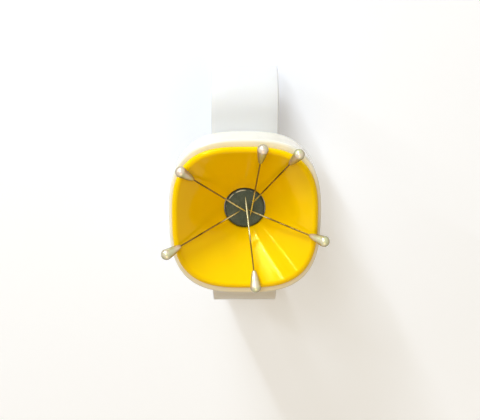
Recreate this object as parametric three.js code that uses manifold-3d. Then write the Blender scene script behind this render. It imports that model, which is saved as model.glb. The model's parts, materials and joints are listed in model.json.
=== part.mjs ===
// Magnetic wrist pincushion: a funnel-shaped pin dish with a magnet at its bottom, in a rounded-square
// housing that slides on a closed wrist band, with six pearl-headed pins lying on it.
// Millimetres, +Z up out of the dish, +X along the wrist, +Y along the band's top run.
// The origin is on the band's flat underside, straight below the dish's axis.

import * as THREE from 'three';
import { mergeVertices } from 'three/addons/utils/BufferGeometryUtils.js';
import Module from 'manifold-3d';

const wasm = await Module();
wasm.setup();

// Running gap that seated pieces keep
const GAP = 0.3;
// How far a cutter runs past the face that it opens
const PAST = 0.5;

// Band: a flat strip closed to a loop, its ends lapped under the wrist
const BAND_WIDTH = 29;
const BAND_THICK = 1.6;
const BAND_EDGE = 0.4;
const LOOP_HEIGHT = 40;
const LOOP_REACH_LOW = 51;
const LOOP_REACH_HIGH = 58.5;
const BEND_STEPS = 14;
const OUTER_END_Y = 26;
const HINGE_Y = 31;
const HINGE_GAP = 0.6;
const TONGUE_LENGTH = 46;
const END_CORNER = 7;
const END_BLEND = 12;

// Adjusting holes in the outer end and the two pegs that fill two of them
const HOLE_DIAMETER = 4;
const HOLE_PITCH = 8;
const HOLE_COUNT = 11;
const HOLE_FROM_END = 6;
const HOLE_SIDES = 16;
const PEG_HOLES = [1, 2];
const CLASP_LENGTH = 15;
const CLASP_WIDTH = 10;
const CLASP_THICK = 1.1;
const CLASP_CORNER = 3;
const PEG_FLOOR_GAP = 0.5;

// Rounded-square outline that the dish, the housing and the base plate share
const SQUARENESS = 2.9;
const OUTLINE_STEPS = 72;

// Housing: a white tube, a little longer along the band, that the dish's lip covers and the base plate closes
const HEAD_DEPTH = 24.4;
const HOUSING_HALF = 31.6;
const HOUSING_LONGER = 1.5;
const HOUSING_WALL = 1.7;
const HOUSING_BACK_ROUND = 3;
const HOUSING_BACK_LIP = 0.9;
const HOUSING_FRONT_ROUND = 1.1;
const HOUSING_FRONT_RIM = 2;
const HOUSING_RIM_THICK = 1.6;
const LEDGE_THICK = 1.5;
const LEDGE_WIDTH = 1.9;
const ROUND_STEPS = 5;

// Dish: a straight-sided funnel under a rolled lip
const LIP_HALF = 30.3;
const LIP_BEAD = 1.5;
const LIP_STEPS = 10;
const LIP_DROP = 0.5;
const DISH_WALL = 1.6;
const SKIRT_WALL = 1.2;
const SKIRT_DEPTH = 2.8;
const COLLAR_WALL = 1.8;

// Magnet and the steel disc under it
const MAGNET_DIAMETER = 17.2;
const MAGNET_THICK = 2.7;
const MAGNET_BEVEL = 0.5;
const MAGNET_SIDE_GAP = 0.35;
const MAGNET_PROUD = 0.2;
const BACKING_DIAMETER = 22;
const BACKING_THICK = 0.8;
const DISC_SIDES = 40;

// Base plate with the two bridges that the band runs through
const BASE_THICK = 1.8;
const LOCATING_RIB_WALL = 1.2;
const LOCATING_RIB_HEIGHT = 1;
const BRIDGE_OFFSET = 10.5;
const BRIDGE_LENGTH = 5;
const BRIDGE_BAR = 1.9;
const BRIDGE_POST = 2.5;
const BAND_SIDE_PLAY = 0.4;

// Screws from the base plate into the posts under the dish
const SCREW_INSET = 5.8;
const SCREW_SHANK = 2.2;
const SCREW_HEAD = 4;
const SCREW_HEAD_RIM = 0.3;
const SCREW_SUNK = 0.15;
const SCREW_LENGTH = 10;
const POST_DIAMETER = 5.4;
const SCREW_SIDES = 16;

// Pins: a steel shaft with a pearl drop for its head
const PIN_LENGTH = 41.5;
const PIN_DIAMETER = 0.65;
const PIN_POINT = 3;
const PIN_SIDES = 8;
const PEARL_LENGTH = 9.4;
const PEARL_DIAMETER = 4.7;
const PEARL_NECK = 1.3;
const PEARL_SWELL = 0.8;
const PEARL_SIDES = 14;
const PEARL_RINGS = 4;
const PEARL_CAP_ANGLES = [30, 60];
// Where each point lies on the magnet, how many pins it lies above, and where its head points
const PINS = [
  { x: 2.3, y: -3.3, above: 0.9, azimuth: 81.8 },
  { x: 2.9, y: 2.0, above: 0, azimuth: 54.6 },
  { x: 1.2, y: -0.5, above: 0, azimuth: -13.4 },
  { x: 0.2, y: 6.0, above: 2.9, azimuth: -82.9 },
  { x: -1.9, y: -0.6, above: 1.5, azimuth: -156.8 },
  { x: 0.9, y: -0.9, above: 2.7, azimuth: 141.0 },
];

// How far and how finely the lean of a resting pin is searched
const LEAN_SEARCH = 0.5;
const LEAN_HALVINGS = 22;
const PIN_SEARCH_STEP = 0.25;
const LIP_SEARCH_ANGLE = 16.5;
const LIP_SEARCH_STEPS = 24;

// Heights that follow from the sizes above
const bandTop = LOOP_HEIGHT;
const baseBottom = bandTop + GAP;
const baseTop = baseBottom + BASE_THICK;
const backingBottom = baseTop + GAP;
const backingTop = backingBottom + BACKING_THICK;
const magnetBottom = backingTop + GAP;
const magnetTop = magnetBottom + MAGNET_THICK;
const lipTop = baseBottom + HEAD_DEPTH;
const lipCentreZ = lipTop - LIP_BEAD;
const lipCentreHalf = LIP_HALF - LIP_BEAD;
const lipBottom = lipCentreZ - LIP_DROP;
const housingTop = lipBottom - GAP;
const lapStep = BAND_THICK + GAP;
const openingRadius = MAGNET_DIAMETER / 2 + MAGNET_SIDE_GAP;

const material = (name, color, roughness, metalness) =>
  new THREE.MeshStandardMaterial({ name, color, roughness, metalness });
const WHITE_BAND = material('white_band', 0xf4f1ea, 0.25, 0);
const WHITE_HOUSING = material('white_housing', 0xf0ebd8, 0.2, 0);
const YELLOW_DISH = material('yellow_dish', 0xfcd903, 0.15, 0);
const CLASP_PLASTIC = material('clasp_plastic', 0xe9e5dc, 0.35, 0);
const FERRITE = material('ferrite', 0x4b504b, 0.35, 0.3);
const ZINC_STEEL = material('zinc_steel', 0xb9bcc0, 0.35, 1);
const PIN_STEEL = material('pin_steel', 0xb49a4e, 0.25, 1);
const PEARL = material('pearl', 0xe9e2c8, 0.2, 0.1);

const object = new THREE.Group();

function addMesh(name, geometry, finish) {
  const mesh = new THREE.Mesh(geometry, finish);
  mesh.name = name;
  object.add(mesh);
  return mesh;
}

// A closed solid for cutting and joining, from a closed geometry
function solidOf(geometry) {
  let bare = geometry.clone();
  bare.deleteAttribute('normal');
  bare.deleteAttribute('uv');
  bare = mergeVertices(bare, 1e-4);
  const faces = [];
  const index = bare.index.array;
  for (let i = 0; i < index.length; i += 3) {
    const [a, b, c] = [index[i], index[i + 1], index[i + 2]];
    if (a !== b && b !== c && c !== a) faces.push(a, b, c);
  }
  return new wasm.Manifold(new wasm.Mesh({
    numProp: 3,
    vertProperties: new Float32Array(bare.attributes.position.array),
    triVerts: new Uint32Array(faces),
  }));
}

// The geometry of a solid that was cut or joined
function geometryOf(solid) {
  const mesh = solid.getMesh();
  const geometry = new THREE.BufferGeometry();
  geometry.setAttribute('position', new THREE.BufferAttribute(new Float32Array(mesh.vertProperties), 3));
  geometry.setIndex(new THREE.BufferAttribute(new Uint32Array(mesh.triVerts), 1));
  geometry.computeVertexNormals();
  return geometry;
}

// How far the rounded square reaches at an angle, for a half width of 1
function outlineReach(angle) {
  const c = Math.abs(Math.cos(angle)) ** SQUARENESS;
  const s = Math.abs(Math.sin(angle)) ** SQUARENESS;
  return (c + s) ** (-1 / SQUARENESS);
}

// A point of a rounded-square ring; square runs from 0, a circle, to 1, the full outline, and longer is
// how much further the ring reaches along Y than along X
function outlinePoint(half, square, angle, longer = 0) {
  const reach = half * (1 + square * (outlineReach(angle) - 1));
  const stretch = half > 0 ? 1 + longer / half : 1;
  return [reach * Math.cos(angle), reach * Math.sin(angle) * stretch];
}

// Sweeps a closed profile of [half width, height, square, longer] once round the Z axis, outer side first upwards
function sweepProfile(profile) {
  const positions = [];
  for (let i = 0; i < OUTLINE_STEPS; i += 1) {
    const angle = (2 * Math.PI * i) / OUTLINE_STEPS;
    for (const [half, z, square, longer] of profile) {
      positions.push(...outlinePoint(half, square, angle, longer), z);
    }
  }
  const faces = [];
  const n = profile.length;
  for (let i = 0; i < OUTLINE_STEPS; i += 1) {
    const next = (i + 1) % OUTLINE_STEPS;
    for (let j = 0; j < n; j += 1) {
      const k = (j + 1) % n;
      const [a, b, c, d] = [i * n + j, next * n + j, next * n + k, i * n + k];
      if (profile[j][0] > 0) faces.push(a, b, profile[k][0] > 0 ? c : d);
      if (profile[k][0] > 0) faces.push(profile[j][0] > 0 ? a : b, c, d);
    }
  }
  const geometry = new THREE.BufferGeometry();
  geometry.setAttribute('position', new THREE.Float32BufferAttribute(positions, 3));
  geometry.setIndex(faces);
  const merged = mergeVertices(geometry, 1e-4);
  merged.computeVertexNormals();
  return merged;
}

// Points of an arc in the profile plane, from one angle to another in degrees
function arcPoints(x, z, radius, from, to, steps, longer = 0) {
  const points = [];
  for (let i = 0; i <= steps; i += 1) {
    const angle = THREE.MathUtils.degToRad(from + ((to - from) * i) / steps);
    points.push([x + radius * Math.cos(angle), z + radius * Math.sin(angle), 1, longer]);
  }
  return points;
}

// A solid of revolution round Z from [radius, height] points that run upwards
function turned(points, sides) {
  const profile = points.map(([r, z]) => new THREE.Vector2(r, z));
  return new THREE.LatheGeometry(profile, sides).rotateX(Math.PI / 2);
}

function cylinder(diameter, bottom, top, sides) {
  const r = diameter / 2;
  return turned([[0, bottom], [r, bottom], [r, top], [0, top]], sides);
}

function block(width, length, height, x, y, bottom) {
  return new THREE.BoxGeometry(width, length, height).translate(x, y, bottom + height / 2);
}

// A flat plate between two lines of constant y, with rounded corners at the low end, the high end or both
function roundedPlate(width, lowY, highY, bottom, thick, lowCorner, highCorner) {
  const half = width / 2;
  const shape = new THREE.Shape();
  shape.moveTo(-half, lowY + lowCorner);
  if (lowCorner > 0) shape.absarc(-half + lowCorner, lowY + lowCorner, lowCorner, Math.PI, 1.5 * Math.PI);
  if (lowCorner > 0) shape.absarc(half - lowCorner, lowY + lowCorner, lowCorner, 1.5 * Math.PI, 2 * Math.PI);
  else shape.lineTo(half, lowY);
  shape.lineTo(half, highY - highCorner);
  if (highCorner > 0) shape.absarc(half - highCorner, highY - highCorner, highCorner, 0, Math.PI / 2);
  if (highCorner > 0) shape.absarc(-half + highCorner, highY - highCorner, highCorner, Math.PI / 2, Math.PI);
  else shape.lineTo(-half, highY);
  const edge = Math.min(BAND_EDGE, thick / 4);
  return new THREE.ExtrudeGeometry(shape, {
    depth: thick - 2 * edge,
    bevelThickness: edge,
    bevelSize: edge,
    bevelOffset: -edge,
    bevelSegments: 1,
    curveSegments: 6,
  }).translate(0, 0, bottom + edge);
}

// Centres and outer radii of the band's two bends, at its low and its high end along Y
const lowBend = { y: -LOOP_REACH_LOW + LOOP_HEIGHT / 2, z: LOOP_HEIGHT / 2, outer: LOOP_HEIGHT / 2 };
const highOuter = (LOOP_HEIGHT - lapStep) / 2;
const highBend = { y: LOOP_REACH_HIGH - highOuter, z: LOOP_HEIGHT - highOuter, outer: highOuter };

// The side view of the looped strip: its outside run and back along its inside
function bandSideShape() {
  const shape = new THREE.Shape();
  const side = (inset) => {
    const points = [[OUTER_END_Y - END_BLEND, inset]];
    for (let i = 0; i <= BEND_STEPS; i += 1) {
      const angle = (Math.PI * i) / BEND_STEPS;
      const r = lowBend.outer - inset;
      points.push([lowBend.y - r * Math.sin(angle), lowBend.z - r * Math.cos(angle)]);
    }
    for (let i = 0; i <= BEND_STEPS; i += 1) {
      const angle = (Math.PI * i) / BEND_STEPS;
      const r = highBend.outer - inset;
      points.push([highBend.y + r * Math.sin(angle), highBend.z + r * Math.cos(angle)]);
    }
    points.push([HINGE_Y + HINGE_GAP / 2, lapStep + inset]);
    return points;
  };
  const outline = [...side(0), ...side(BAND_THICK).reverse()];
  shape.setFromPoints(outline.map(([y, z]) => new THREE.Vector2(y, z)));
  return shape;
}

// Turns a shape drawn in (y, z) and extruded along its own depth into a solid across X
function extrudeAcross(shape, width, edge) {
  const geometry = new THREE.ExtrudeGeometry(shape, {
    depth: width - 2 * edge,
    bevelThickness: edge,
    bevelSize: edge,
    bevelOffset: -edge,
    bevelSegments: 1,
    curveSegments: 6,
  }).translate(0, 0, edge - width / 2);
  return geometry.applyMatrix4(new THREE.Matrix4().set(
    0, 0, 1, 0,
    1, 0, 0, 0,
    0, 1, 0, 0,
    0, 0, 0, 1,
  ));
}

// Centre of an adjusting hole on the outer end, with the lean of the strip there
function holeStation(number) {
  const along = HOLE_FROM_END + number * HOLE_PITCH;
  const flat = OUTER_END_Y - lowBend.y;
  if (along <= flat) return { y: OUTER_END_Y - along, z: BAND_THICK / 2, lean: 0 };
  const radius = lowBend.outer - BAND_THICK / 2;
  const lean = (along - flat) / radius;
  return { y: lowBend.y - radius * Math.sin(lean), z: lowBend.z - radius * Math.cos(lean), lean };
}

function holeCutter(number) {
  const { y, z, lean } = holeStation(number);
  return cylinder(HOLE_DIAMETER, -BAND_THICK, BAND_THICK, HOLE_SIDES).rotateX(-lean).translate(0, y, z);
}

function makeBand() {
  let band = solidOf(extrudeAcross(bandSideShape(), BAND_WIDTH, BAND_EDGE));
  const overlapY = OUTER_END_Y - END_BLEND - PAST;
  band = band.add(solidOf(roundedPlate(BAND_WIDTH, overlapY, OUTER_END_Y, 0, BAND_THICK, 0, END_CORNER)));
  for (let i = 0; i < HOLE_COUNT; i += 1) band = band.subtract(solidOf(holeCutter(i)));
  addMesh('band_main', geometryOf(band), WHITE_BAND);
}

function makeTongue() {
  const root = HINGE_Y - HINGE_GAP / 2;
  let tongue = solidOf(roundedPlate(BAND_WIDTH, root - TONGUE_LENGTH, root, lapStep, BAND_THICK, END_CORNER, 0));
  for (const number of PEG_HOLES) {
    const { y } = holeStation(number);
    const cutter = cylinder(HOLE_DIAMETER, lapStep - PAST, lapStep + BAND_THICK + PAST, HOLE_SIDES);
    tongue = tongue.subtract(solidOf(cutter.translate(0, y, 0)));
  }
  addMesh('band_tongue', geometryOf(tongue), WHITE_BAND);
}

function makeClasp() {
  const bottom = lapStep + BAND_THICK + GAP;
  const middle = PEG_HOLES.reduce((sum, number) => sum + holeStation(number).y, 0) / PEG_HOLES.length;
  const low = middle - CLASP_LENGTH / 2;
  const high = middle + CLASP_LENGTH / 2;
  let clasp = solidOf(roundedPlate(CLASP_WIDTH, low, high, bottom, CLASP_THICK, CLASP_CORNER, CLASP_CORNER));
  const pegRadius = HOLE_DIAMETER / 2 - GAP;
  for (const number of PEG_HOLES) {
    const peg = turned([
      [0, PEG_FLOOR_GAP],
      [pegRadius - GAP, PEG_FLOOR_GAP],
      [pegRadius, PEG_FLOOR_GAP + GAP],
      [pegRadius, bottom + CLASP_THICK / 2],
      [0, bottom + CLASP_THICK / 2],
    ], HOLE_SIDES);
    clasp = clasp.add(solidOf(peg.translate(0, holeStation(number).y, 0)));
  }
  addMesh('peg_clasp', geometryOf(clasp), CLASP_PLASTIC);
}

const housingInner = HOUSING_HALF - HOUSING_WALL;
const frontOpening = HOUSING_HALF - HOUSING_FRONT_RIM;
const backOpening = HOUSING_HALF - HOUSING_BACK_ROUND - HOUSING_BACK_LIP;

function makeHousing() {
  const ledgeBottom = baseTop + GAP;
  const ledgeTop = ledgeBottom + LEDGE_THICK;
  const ledgeHalf = backOpening - LEDGE_WIDTH;
  const rimBottom = housingTop - HOUSING_RIM_THICK;
  const back = HOUSING_BACK_ROUND;
  const front = HOUSING_FRONT_ROUND;
  const longer = HOUSING_LONGER;
  const profile = [
    ...arcPoints(HOUSING_HALF - back, baseBottom + back, back, -90, 0, ROUND_STEPS, longer),
    ...arcPoints(HOUSING_HALF - front, housingTop - front, front, 0, 90, ROUND_STEPS - 2, longer),
    [frontOpening, housingTop, 1, 0],
    [frontOpening, rimBottom, 1, 0],
    [housingInner, rimBottom, 1, longer],
    [housingInner, ledgeTop, 1, longer],
    [ledgeHalf, ledgeTop, 1, longer],
    [ledgeHalf, ledgeBottom, 1, longer],
    [backOpening, ledgeBottom, 1, longer],
    [backOpening, baseBottom, 1, longer],
  ];
  addMesh('housing_shell', sweepProfile(profile), WHITE_HOUSING);
}

// The funnel's straight side touches the lip's bead; this is its slope and where they meet
const funnelBottom = magnetTop - MAGNET_PROUD;
const toBead = { across: lipCentreHalf - openingRadius, up: lipCentreZ - funnelBottom };
const beadAway = Math.hypot(toBead.across, toBead.up);
const funnelSlope = Math.atan2(toBead.up, toBead.across) + Math.asin(LIP_BEAD / beadAway);
const wallDrop = DISH_WALL / Math.cos(funnelSlope);
const funnelHeight = (half) => funnelBottom + (half - openingRadius) * Math.tan(funnelSlope);

// The screws stand in from the base plate's corners, along its diagonals
const baseHalf = backOpening - GAP;
const screwReach = (baseHalf * outlineReach(Math.PI / 4) - SCREW_INSET) / Math.SQRT2;
const screwPlaces = [[1, 1], [-1, 1], [-1, -1], [1, -1]].map(([sx, sy]) => [sx * screwReach, sy * screwReach]);

function lipArc() {
  const start = THREE.MathUtils.radToDeg(funnelSlope) + 90;
  return arcPoints(lipCentreHalf, lipCentreZ, LIP_BEAD, start, 0, LIP_STEPS);
}

function makeDish() {
  const skirtOuter = frontOpening - GAP;
  const skirtInner = skirtOuter - SKIRT_WALL;
  const skirtBottom = lipBottom - SKIRT_DEPTH;
  const collarOuter = openingRadius + COLLAR_WALL;
  const collarBottom = backingTop + GAP;
  const upward = [
    [collarOuter, collarBottom, 0],
    [collarOuter, funnelHeight(collarOuter) - wallDrop, 0],
    [skirtInner, Math.min(funnelHeight(skirtInner) - wallDrop, lipBottom), 1],
    [skirtInner, skirtBottom, 1],
    [skirtOuter, skirtBottom, 1],
    [skirtOuter, lipBottom, 1],
    [LIP_HALF, lipBottom, 1],
    ...lipArc().reverse(),
    [openingRadius, funnelBottom, 0],
    [openingRadius, collarBottom, 0],
  ];
  let dish = solidOf(sweepProfile(upward));
  const hollow = solidOf(sweepProfile([
    [0, collarBottom - PAST, 0],
    [openingRadius, collarBottom - PAST, 0],
    [openingRadius, funnelBottom, 0],
    [lipArc()[0][0], lipArc()[0][1], 1],
    [lipArc()[0][0], lipTop + PAST, 1],
    [0, lipTop + PAST, 0],
  ]));
  const postBottom = baseTop + GAP;
  const boreTop = baseBottom + SCREW_LENGTH + GAP + PAST;
  for (const [x, y] of screwPlaces) {
    const post = solidOf(cylinder(POST_DIAMETER, postBottom, lipBottom, SCREW_SIDES).translate(x, y, 0));
    const bore = cylinder(SCREW_SHANK + 2 * GAP, postBottom - PAST, boreTop, SCREW_SIDES).translate(x, y, 0);
    dish = dish.add(post.subtract(hollow)).subtract(solidOf(bore));
  }
  addMesh('funnel_dish', geometryOf(dish), YELLOW_DISH);
}

function makeMagnet() {
  const r = MAGNET_DIAMETER / 2;
  addMesh('magnet', turned([
    [0, magnetBottom],
    [r, magnetBottom],
    [r, magnetTop - MAGNET_BEVEL],
    [r - MAGNET_BEVEL, magnetTop],
    [0, magnetTop],
  ], DISC_SIDES), FERRITE);
  addMesh('backing_plate', cylinder(BACKING_DIAMETER, backingBottom, backingTop, DISC_SIDES), ZINC_STEEL);
}

// Radius of a countersunk screw, or of its seat with the gap added, from the head's face upwards
function screwProfile(extra, bottom, top) {
  const head = SCREW_HEAD / 2 + extra;
  const shank = SCREW_SHANK / 2 + extra;
  const rim = baseBottom + SCREW_SUNK + SCREW_HEAD_RIM;
  return [
    [0, bottom],
    [head, bottom],
    [head, rim],
    [shank, rim + head - shank],
    [shank, top],
  ];
}

function makeScrews() {
  const tip = baseBottom + SCREW_LENGTH;
  screwPlaces.forEach(([x, y], i) => {
    const points = [...screwProfile(0, baseBottom + SCREW_SUNK, tip - SCREW_SHANK / 2), [0, tip]];
    addMesh(`base_screw_${i + 1}`, turned(points, SCREW_SIDES).translate(x, y, 0), ZINC_STEEL);
  });
}

function makeBase() {
  let base = solidOf(sweepProfile([
    [0, baseBottom, 0],
    [baseHalf, baseBottom, 1, HOUSING_LONGER],
    [baseHalf, baseTop, 1, HOUSING_LONGER],
    [0, baseTop, 0],
  ]));
  const ribInner = BACKING_DIAMETER / 2 + GAP;
  const ribOuter = ribInner + LOCATING_RIB_WALL;
  const rib = solidOf(cylinder(2 * ribOuter, baseTop - PAST, baseTop + LOCATING_RIB_HEIGHT, DISC_SIDES))
    .subtract(solidOf(cylinder(2 * ribInner, baseTop - 2 * PAST, baseTop + LOCATING_RIB_HEIGHT + PAST, DISC_SIDES)));
  base = base.add(rib);
  const bandBottom = bandTop - BAND_THICK;
  const barTop = bandBottom - GAP;
  const barBottom = barTop - BRIDGE_BAR;
  const slotHalf = BAND_WIDTH / 2 + BAND_SIDE_PLAY;
  const outerHalf = slotHalf + BRIDGE_POST;
  for (const side of [-1, 1]) {
    const y = side * BRIDGE_OFFSET;
    base = base.add(solidOf(block(2 * outerHalf, BRIDGE_LENGTH, BRIDGE_BAR, 0, y, barBottom)));
    for (const end of [-1, 1]) {
      const x = end * (slotHalf + BRIDGE_POST / 2);
      const postHeight = baseTop - PAST - barBottom;
      base = base.add(solidOf(block(BRIDGE_POST, BRIDGE_LENGTH, postHeight, x, y, barBottom)));
    }
  }
  for (const [x, y] of screwPlaces) {
    const points = [...screwProfile(GAP, baseBottom - PAST, baseTop + PAST), [0, baseTop + PAST]];
    base = base.subtract(solidOf(turned(points, SCREW_SIDES).translate(x, y, 0)));
  }
  addMesh('base_plate', geometryOf(base), WHITE_HOUSING);
}

// Radius of a pin at a distance from its point
const pearlStart = PIN_LENGTH - PEARL_LENGTH;
const ballCentre = PIN_LENGTH - PEARL_DIAMETER / 2;
function pearlRadius(along) {
  const ball = PEARL_DIAMETER / 2;
  if (along >= ballCentre) return Math.sqrt(Math.max(ball ** 2 - (along - ballCentre) ** 2, 0));
  const share = (along - pearlStart) / (ballCentre - pearlStart);
  return PEARL_NECK / 2 + (ball - PEARL_NECK / 2) * share ** PEARL_SWELL;
}
const pinRadius = (along) => (along < pearlStart ? PIN_DIAMETER / 2 : pearlRadius(along));

// Least gap between a pin leaning at an angle and the bead of the lip
function gapToLip(tip, azimuth, lean) {
  const direction = new THREE.Vector3(
    Math.cos(lean) * Math.cos(azimuth), Math.cos(lean) * Math.sin(azimuth), Math.sin(lean));
  let least = Infinity;
  const searchWidth = THREE.MathUtils.degToRad(LIP_SEARCH_ANGLE);
  for (let along = PIN_LENGTH / 3; along < PIN_LENGTH; along += PIN_SEARCH_STEP) {
    const p = tip.clone().addScaledVector(direction, along);
    for (let step = -LIP_SEARCH_STEPS; step <= LIP_SEARCH_STEPS; step += 1) {
      const [x, y] = outlinePoint(lipCentreHalf, 1, azimuth + (step * searchWidth) / LIP_SEARCH_STEPS);
      const away = Math.hypot(p.x - x, p.y - y, p.z - lipCentreZ);
      least = Math.min(least, away - LIP_BEAD - pinRadius(along));
    }
  }
  return least;
}

// The lean at which a pin rests on the lip, a gap clear of it, searched upwards from a pin through the bead
function restingLean(tip, azimuth) {
  const [x, y] = outlinePoint(lipCentreHalf, 1, azimuth);
  let low = Math.atan2(lipCentreZ - tip.z, Math.hypot(x - tip.x, y - tip.y));
  let high = low + LEAN_SEARCH;
  for (let i = 0; i < LEAN_HALVINGS; i += 1) {
    const lean = (low + high) / 2;
    if (gapToLip(tip, azimuth, lean) < GAP) low = lean;
    else high = lean;
  }
  return high;
}

function makePins() {
  const radius = PIN_DIAMETER / 2;
  const shaft = turned([
    [0, 0],
    [radius, PIN_POINT],
    [radius, pearlStart - GAP],
    [0, pearlStart - GAP],
  ], PIN_SIDES);
  const stations = [];
  for (let i = 0; i <= PEARL_RINGS; i += 1) {
    stations.push(pearlStart + (i / PEARL_RINGS) * (ballCentre - pearlStart));
  }
  const cap = PEARL_CAP_ANGLES.map((angle) =>
    ballCentre + (PEARL_DIAMETER / 2) * Math.sin(THREE.MathUtils.degToRad(angle)));
  const pearl = turned([
    [0, pearlStart],
    ...[...stations, ...cap].map((along) => [pearlRadius(along), along]),
    [0, PIN_LENGTH],
  ], PEARL_SIDES);
  const stackPitch = PIN_DIAMETER + GAP;
  PINS.forEach(({ x, y, above, azimuth }, i) => {
    const tip = new THREE.Vector3(x, y, magnetTop + GAP + radius + above * stackPitch);
    const turn = THREE.MathUtils.degToRad(azimuth);
    const lean = restingLean(tip, turn);
    const place = new THREE.Matrix4().makeTranslation(tip)
      .multiply(new THREE.Matrix4().makeRotationZ(turn))
      .multiply(new THREE.Matrix4().makeRotationY(Math.PI / 2 - lean));
    addMesh(`pin_${i + 1}_shaft`, shaft.clone(), PIN_STEEL).applyMatrix4(place);
    addMesh(`pin_${i + 1}_head`, pearl.clone(), PEARL).applyMatrix4(place);
  });
}

makeBand();
makeTongue();
makeClasp();
makeBase();
makeScrews();
makeMagnet();
makeDish();
makeHousing();
makePins();

export default object;
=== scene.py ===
"""Looks of a magnetic wrist pincushion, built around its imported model.

A yellow funnel dish with a magnet at its bottom sits in a white rounded-square housing, which runs on a
closed white wrist band. Six pearl-headed pins lie on the magnet and over the dish's lip.
Sizes are in millimetres where no line says otherwise, and meshes are made in metres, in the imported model's
own frame: +Z up out of the dish, +X along the wrist, +Y along the band's top run.
"""

import json
import logging
import math
from collections.abc import Callable
from dataclasses import dataclass, field
from enum import Enum
from typing import NamedTuple

import bmesh
import bpy
from bpy.types import Material, Node, NodeSocket, NodeTree, Object
from mathutils import Matrix, Vector

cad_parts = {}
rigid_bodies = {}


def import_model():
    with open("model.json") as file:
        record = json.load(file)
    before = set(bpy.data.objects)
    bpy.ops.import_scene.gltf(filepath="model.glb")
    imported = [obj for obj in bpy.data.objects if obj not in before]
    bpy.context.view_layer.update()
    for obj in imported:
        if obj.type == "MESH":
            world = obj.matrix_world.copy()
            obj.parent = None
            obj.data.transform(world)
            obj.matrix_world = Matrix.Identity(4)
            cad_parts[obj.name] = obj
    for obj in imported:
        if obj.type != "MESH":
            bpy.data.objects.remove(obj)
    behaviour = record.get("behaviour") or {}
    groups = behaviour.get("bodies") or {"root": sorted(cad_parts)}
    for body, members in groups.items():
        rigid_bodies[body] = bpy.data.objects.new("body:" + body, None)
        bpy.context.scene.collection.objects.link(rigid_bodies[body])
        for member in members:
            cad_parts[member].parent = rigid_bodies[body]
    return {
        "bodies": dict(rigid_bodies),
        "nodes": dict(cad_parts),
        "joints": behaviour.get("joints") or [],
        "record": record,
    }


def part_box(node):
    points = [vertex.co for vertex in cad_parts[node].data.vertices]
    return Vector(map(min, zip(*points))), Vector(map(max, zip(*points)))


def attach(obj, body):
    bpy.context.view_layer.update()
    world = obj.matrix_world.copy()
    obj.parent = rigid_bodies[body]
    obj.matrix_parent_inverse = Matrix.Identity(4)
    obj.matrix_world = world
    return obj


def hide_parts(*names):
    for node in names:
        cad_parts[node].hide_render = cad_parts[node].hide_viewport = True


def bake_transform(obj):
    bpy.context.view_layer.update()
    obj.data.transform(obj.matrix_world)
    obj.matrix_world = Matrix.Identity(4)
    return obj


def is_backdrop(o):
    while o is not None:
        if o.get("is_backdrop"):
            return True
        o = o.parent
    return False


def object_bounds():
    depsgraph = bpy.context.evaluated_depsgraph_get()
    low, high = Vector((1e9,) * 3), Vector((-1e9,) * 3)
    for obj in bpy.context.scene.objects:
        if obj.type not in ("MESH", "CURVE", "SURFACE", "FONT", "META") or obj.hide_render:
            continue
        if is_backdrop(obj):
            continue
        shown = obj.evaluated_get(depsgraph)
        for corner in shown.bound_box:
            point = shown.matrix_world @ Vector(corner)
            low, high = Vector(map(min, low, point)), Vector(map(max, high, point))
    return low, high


MM = 0.001
LOG = logging.getLogger("pincushion")

SCREW_COUNT = 4
# How far a cutter stands past what it cuts
CUT_PAST = 0.5
# The angle between two faces from which their edge looks sharp, in degrees
SHARP = 40.0
# Points nearer than this are one, in metres
WELD = 1e-6

Point = tuple[float, float, float]
Profile = list[tuple[float, float]]
Inputs = dict[str | int, object]
RadiusOf = Callable[[NodeTree, NodeSocket], NodeSocket]


class Slot(Enum):
    """The record's material slots."""

    BAND = "band_plastic"
    HOUSING = "housing_plastic"
    DISH = "dish_plastic"
    CLASP = "clasp_plastic"
    FERRITE = "ferrite"
    ZINC = "zinc_steel"
    PIN = "pin_steel"
    PEARL = "pearl"


class Corner(Enum):
    """How an end of the strip is cut in plan, with its corners' radius in millimetres."""

    SQUARE = 0.0
    ROUND = 7.0


class Fit(Enum):
    """What a second solid does to a piece."""

    JOIN = "UNION"
    CUT = "DIFFERENCE"


class Ring(NamedTuple):
    """One ring of a swept profile.

    Attributes:
        half: its half width along X.
        z: its height.
        square: how square it is, from 0, a circle, to 1, the full outline.
        longer: how much further it reaches along Y than along X.
        painted_glow: how strongly the finish paints a yellow glow here, standing in for the dish's light
            coming through, from 0 to 1.
    """

    half: float
    z: float
    square: float = 1.0
    longer: float = 0.0
    painted_glow: float = 0.0


def linear(hex_colour: str) -> tuple[float, float, float, float]:
    """Turns an sRGB hex colour into linear light.

    Args:
        hex_colour: six hex digits, such as "ffcc00".

    Returns:
        Red, green, blue and an alpha of 1.
    """
    values = [int(hex_colour[i : i + 2], 16) / 255 for i in (0, 2, 4)]
    light = [v / 12.92 if v <= 0.04045 else ((v + 0.055) / 1.055) ** 2.4 for v in values]
    return (*light, 1.0)


def set_inputs(tree: NodeTree, node: Node, sockets: Inputs) -> None:
    """Gives a node's inputs their values or links.

    Args:
        tree: the node's tree.
        node: the node.
        sockets: input name or number to a value or to another node's output.
    """
    for key, value in sockets.items():
        if isinstance(value, NodeSocket):
            tree.links.new(value, node.inputs[key])
        else:
            node.inputs[key].default_value = value


def add_node(tree: NodeTree, kind: str, sockets: Inputs | None = None, **settings: object) -> Node:
    """Adds a node to a tree, sets it up and links it.

    Args:
        tree: the shader or geometry tree.
        kind: the node's Blender type.
        sockets: input name or number to a value or to another node's output.
        settings: the node's own properties.

    Returns:
        The new node.
    """
    node = tree.nodes.new(kind)
    for name, value in settings.items():
        setattr(node, name, value)
    set_inputs(tree, node, sockets or {})
    return node


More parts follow.
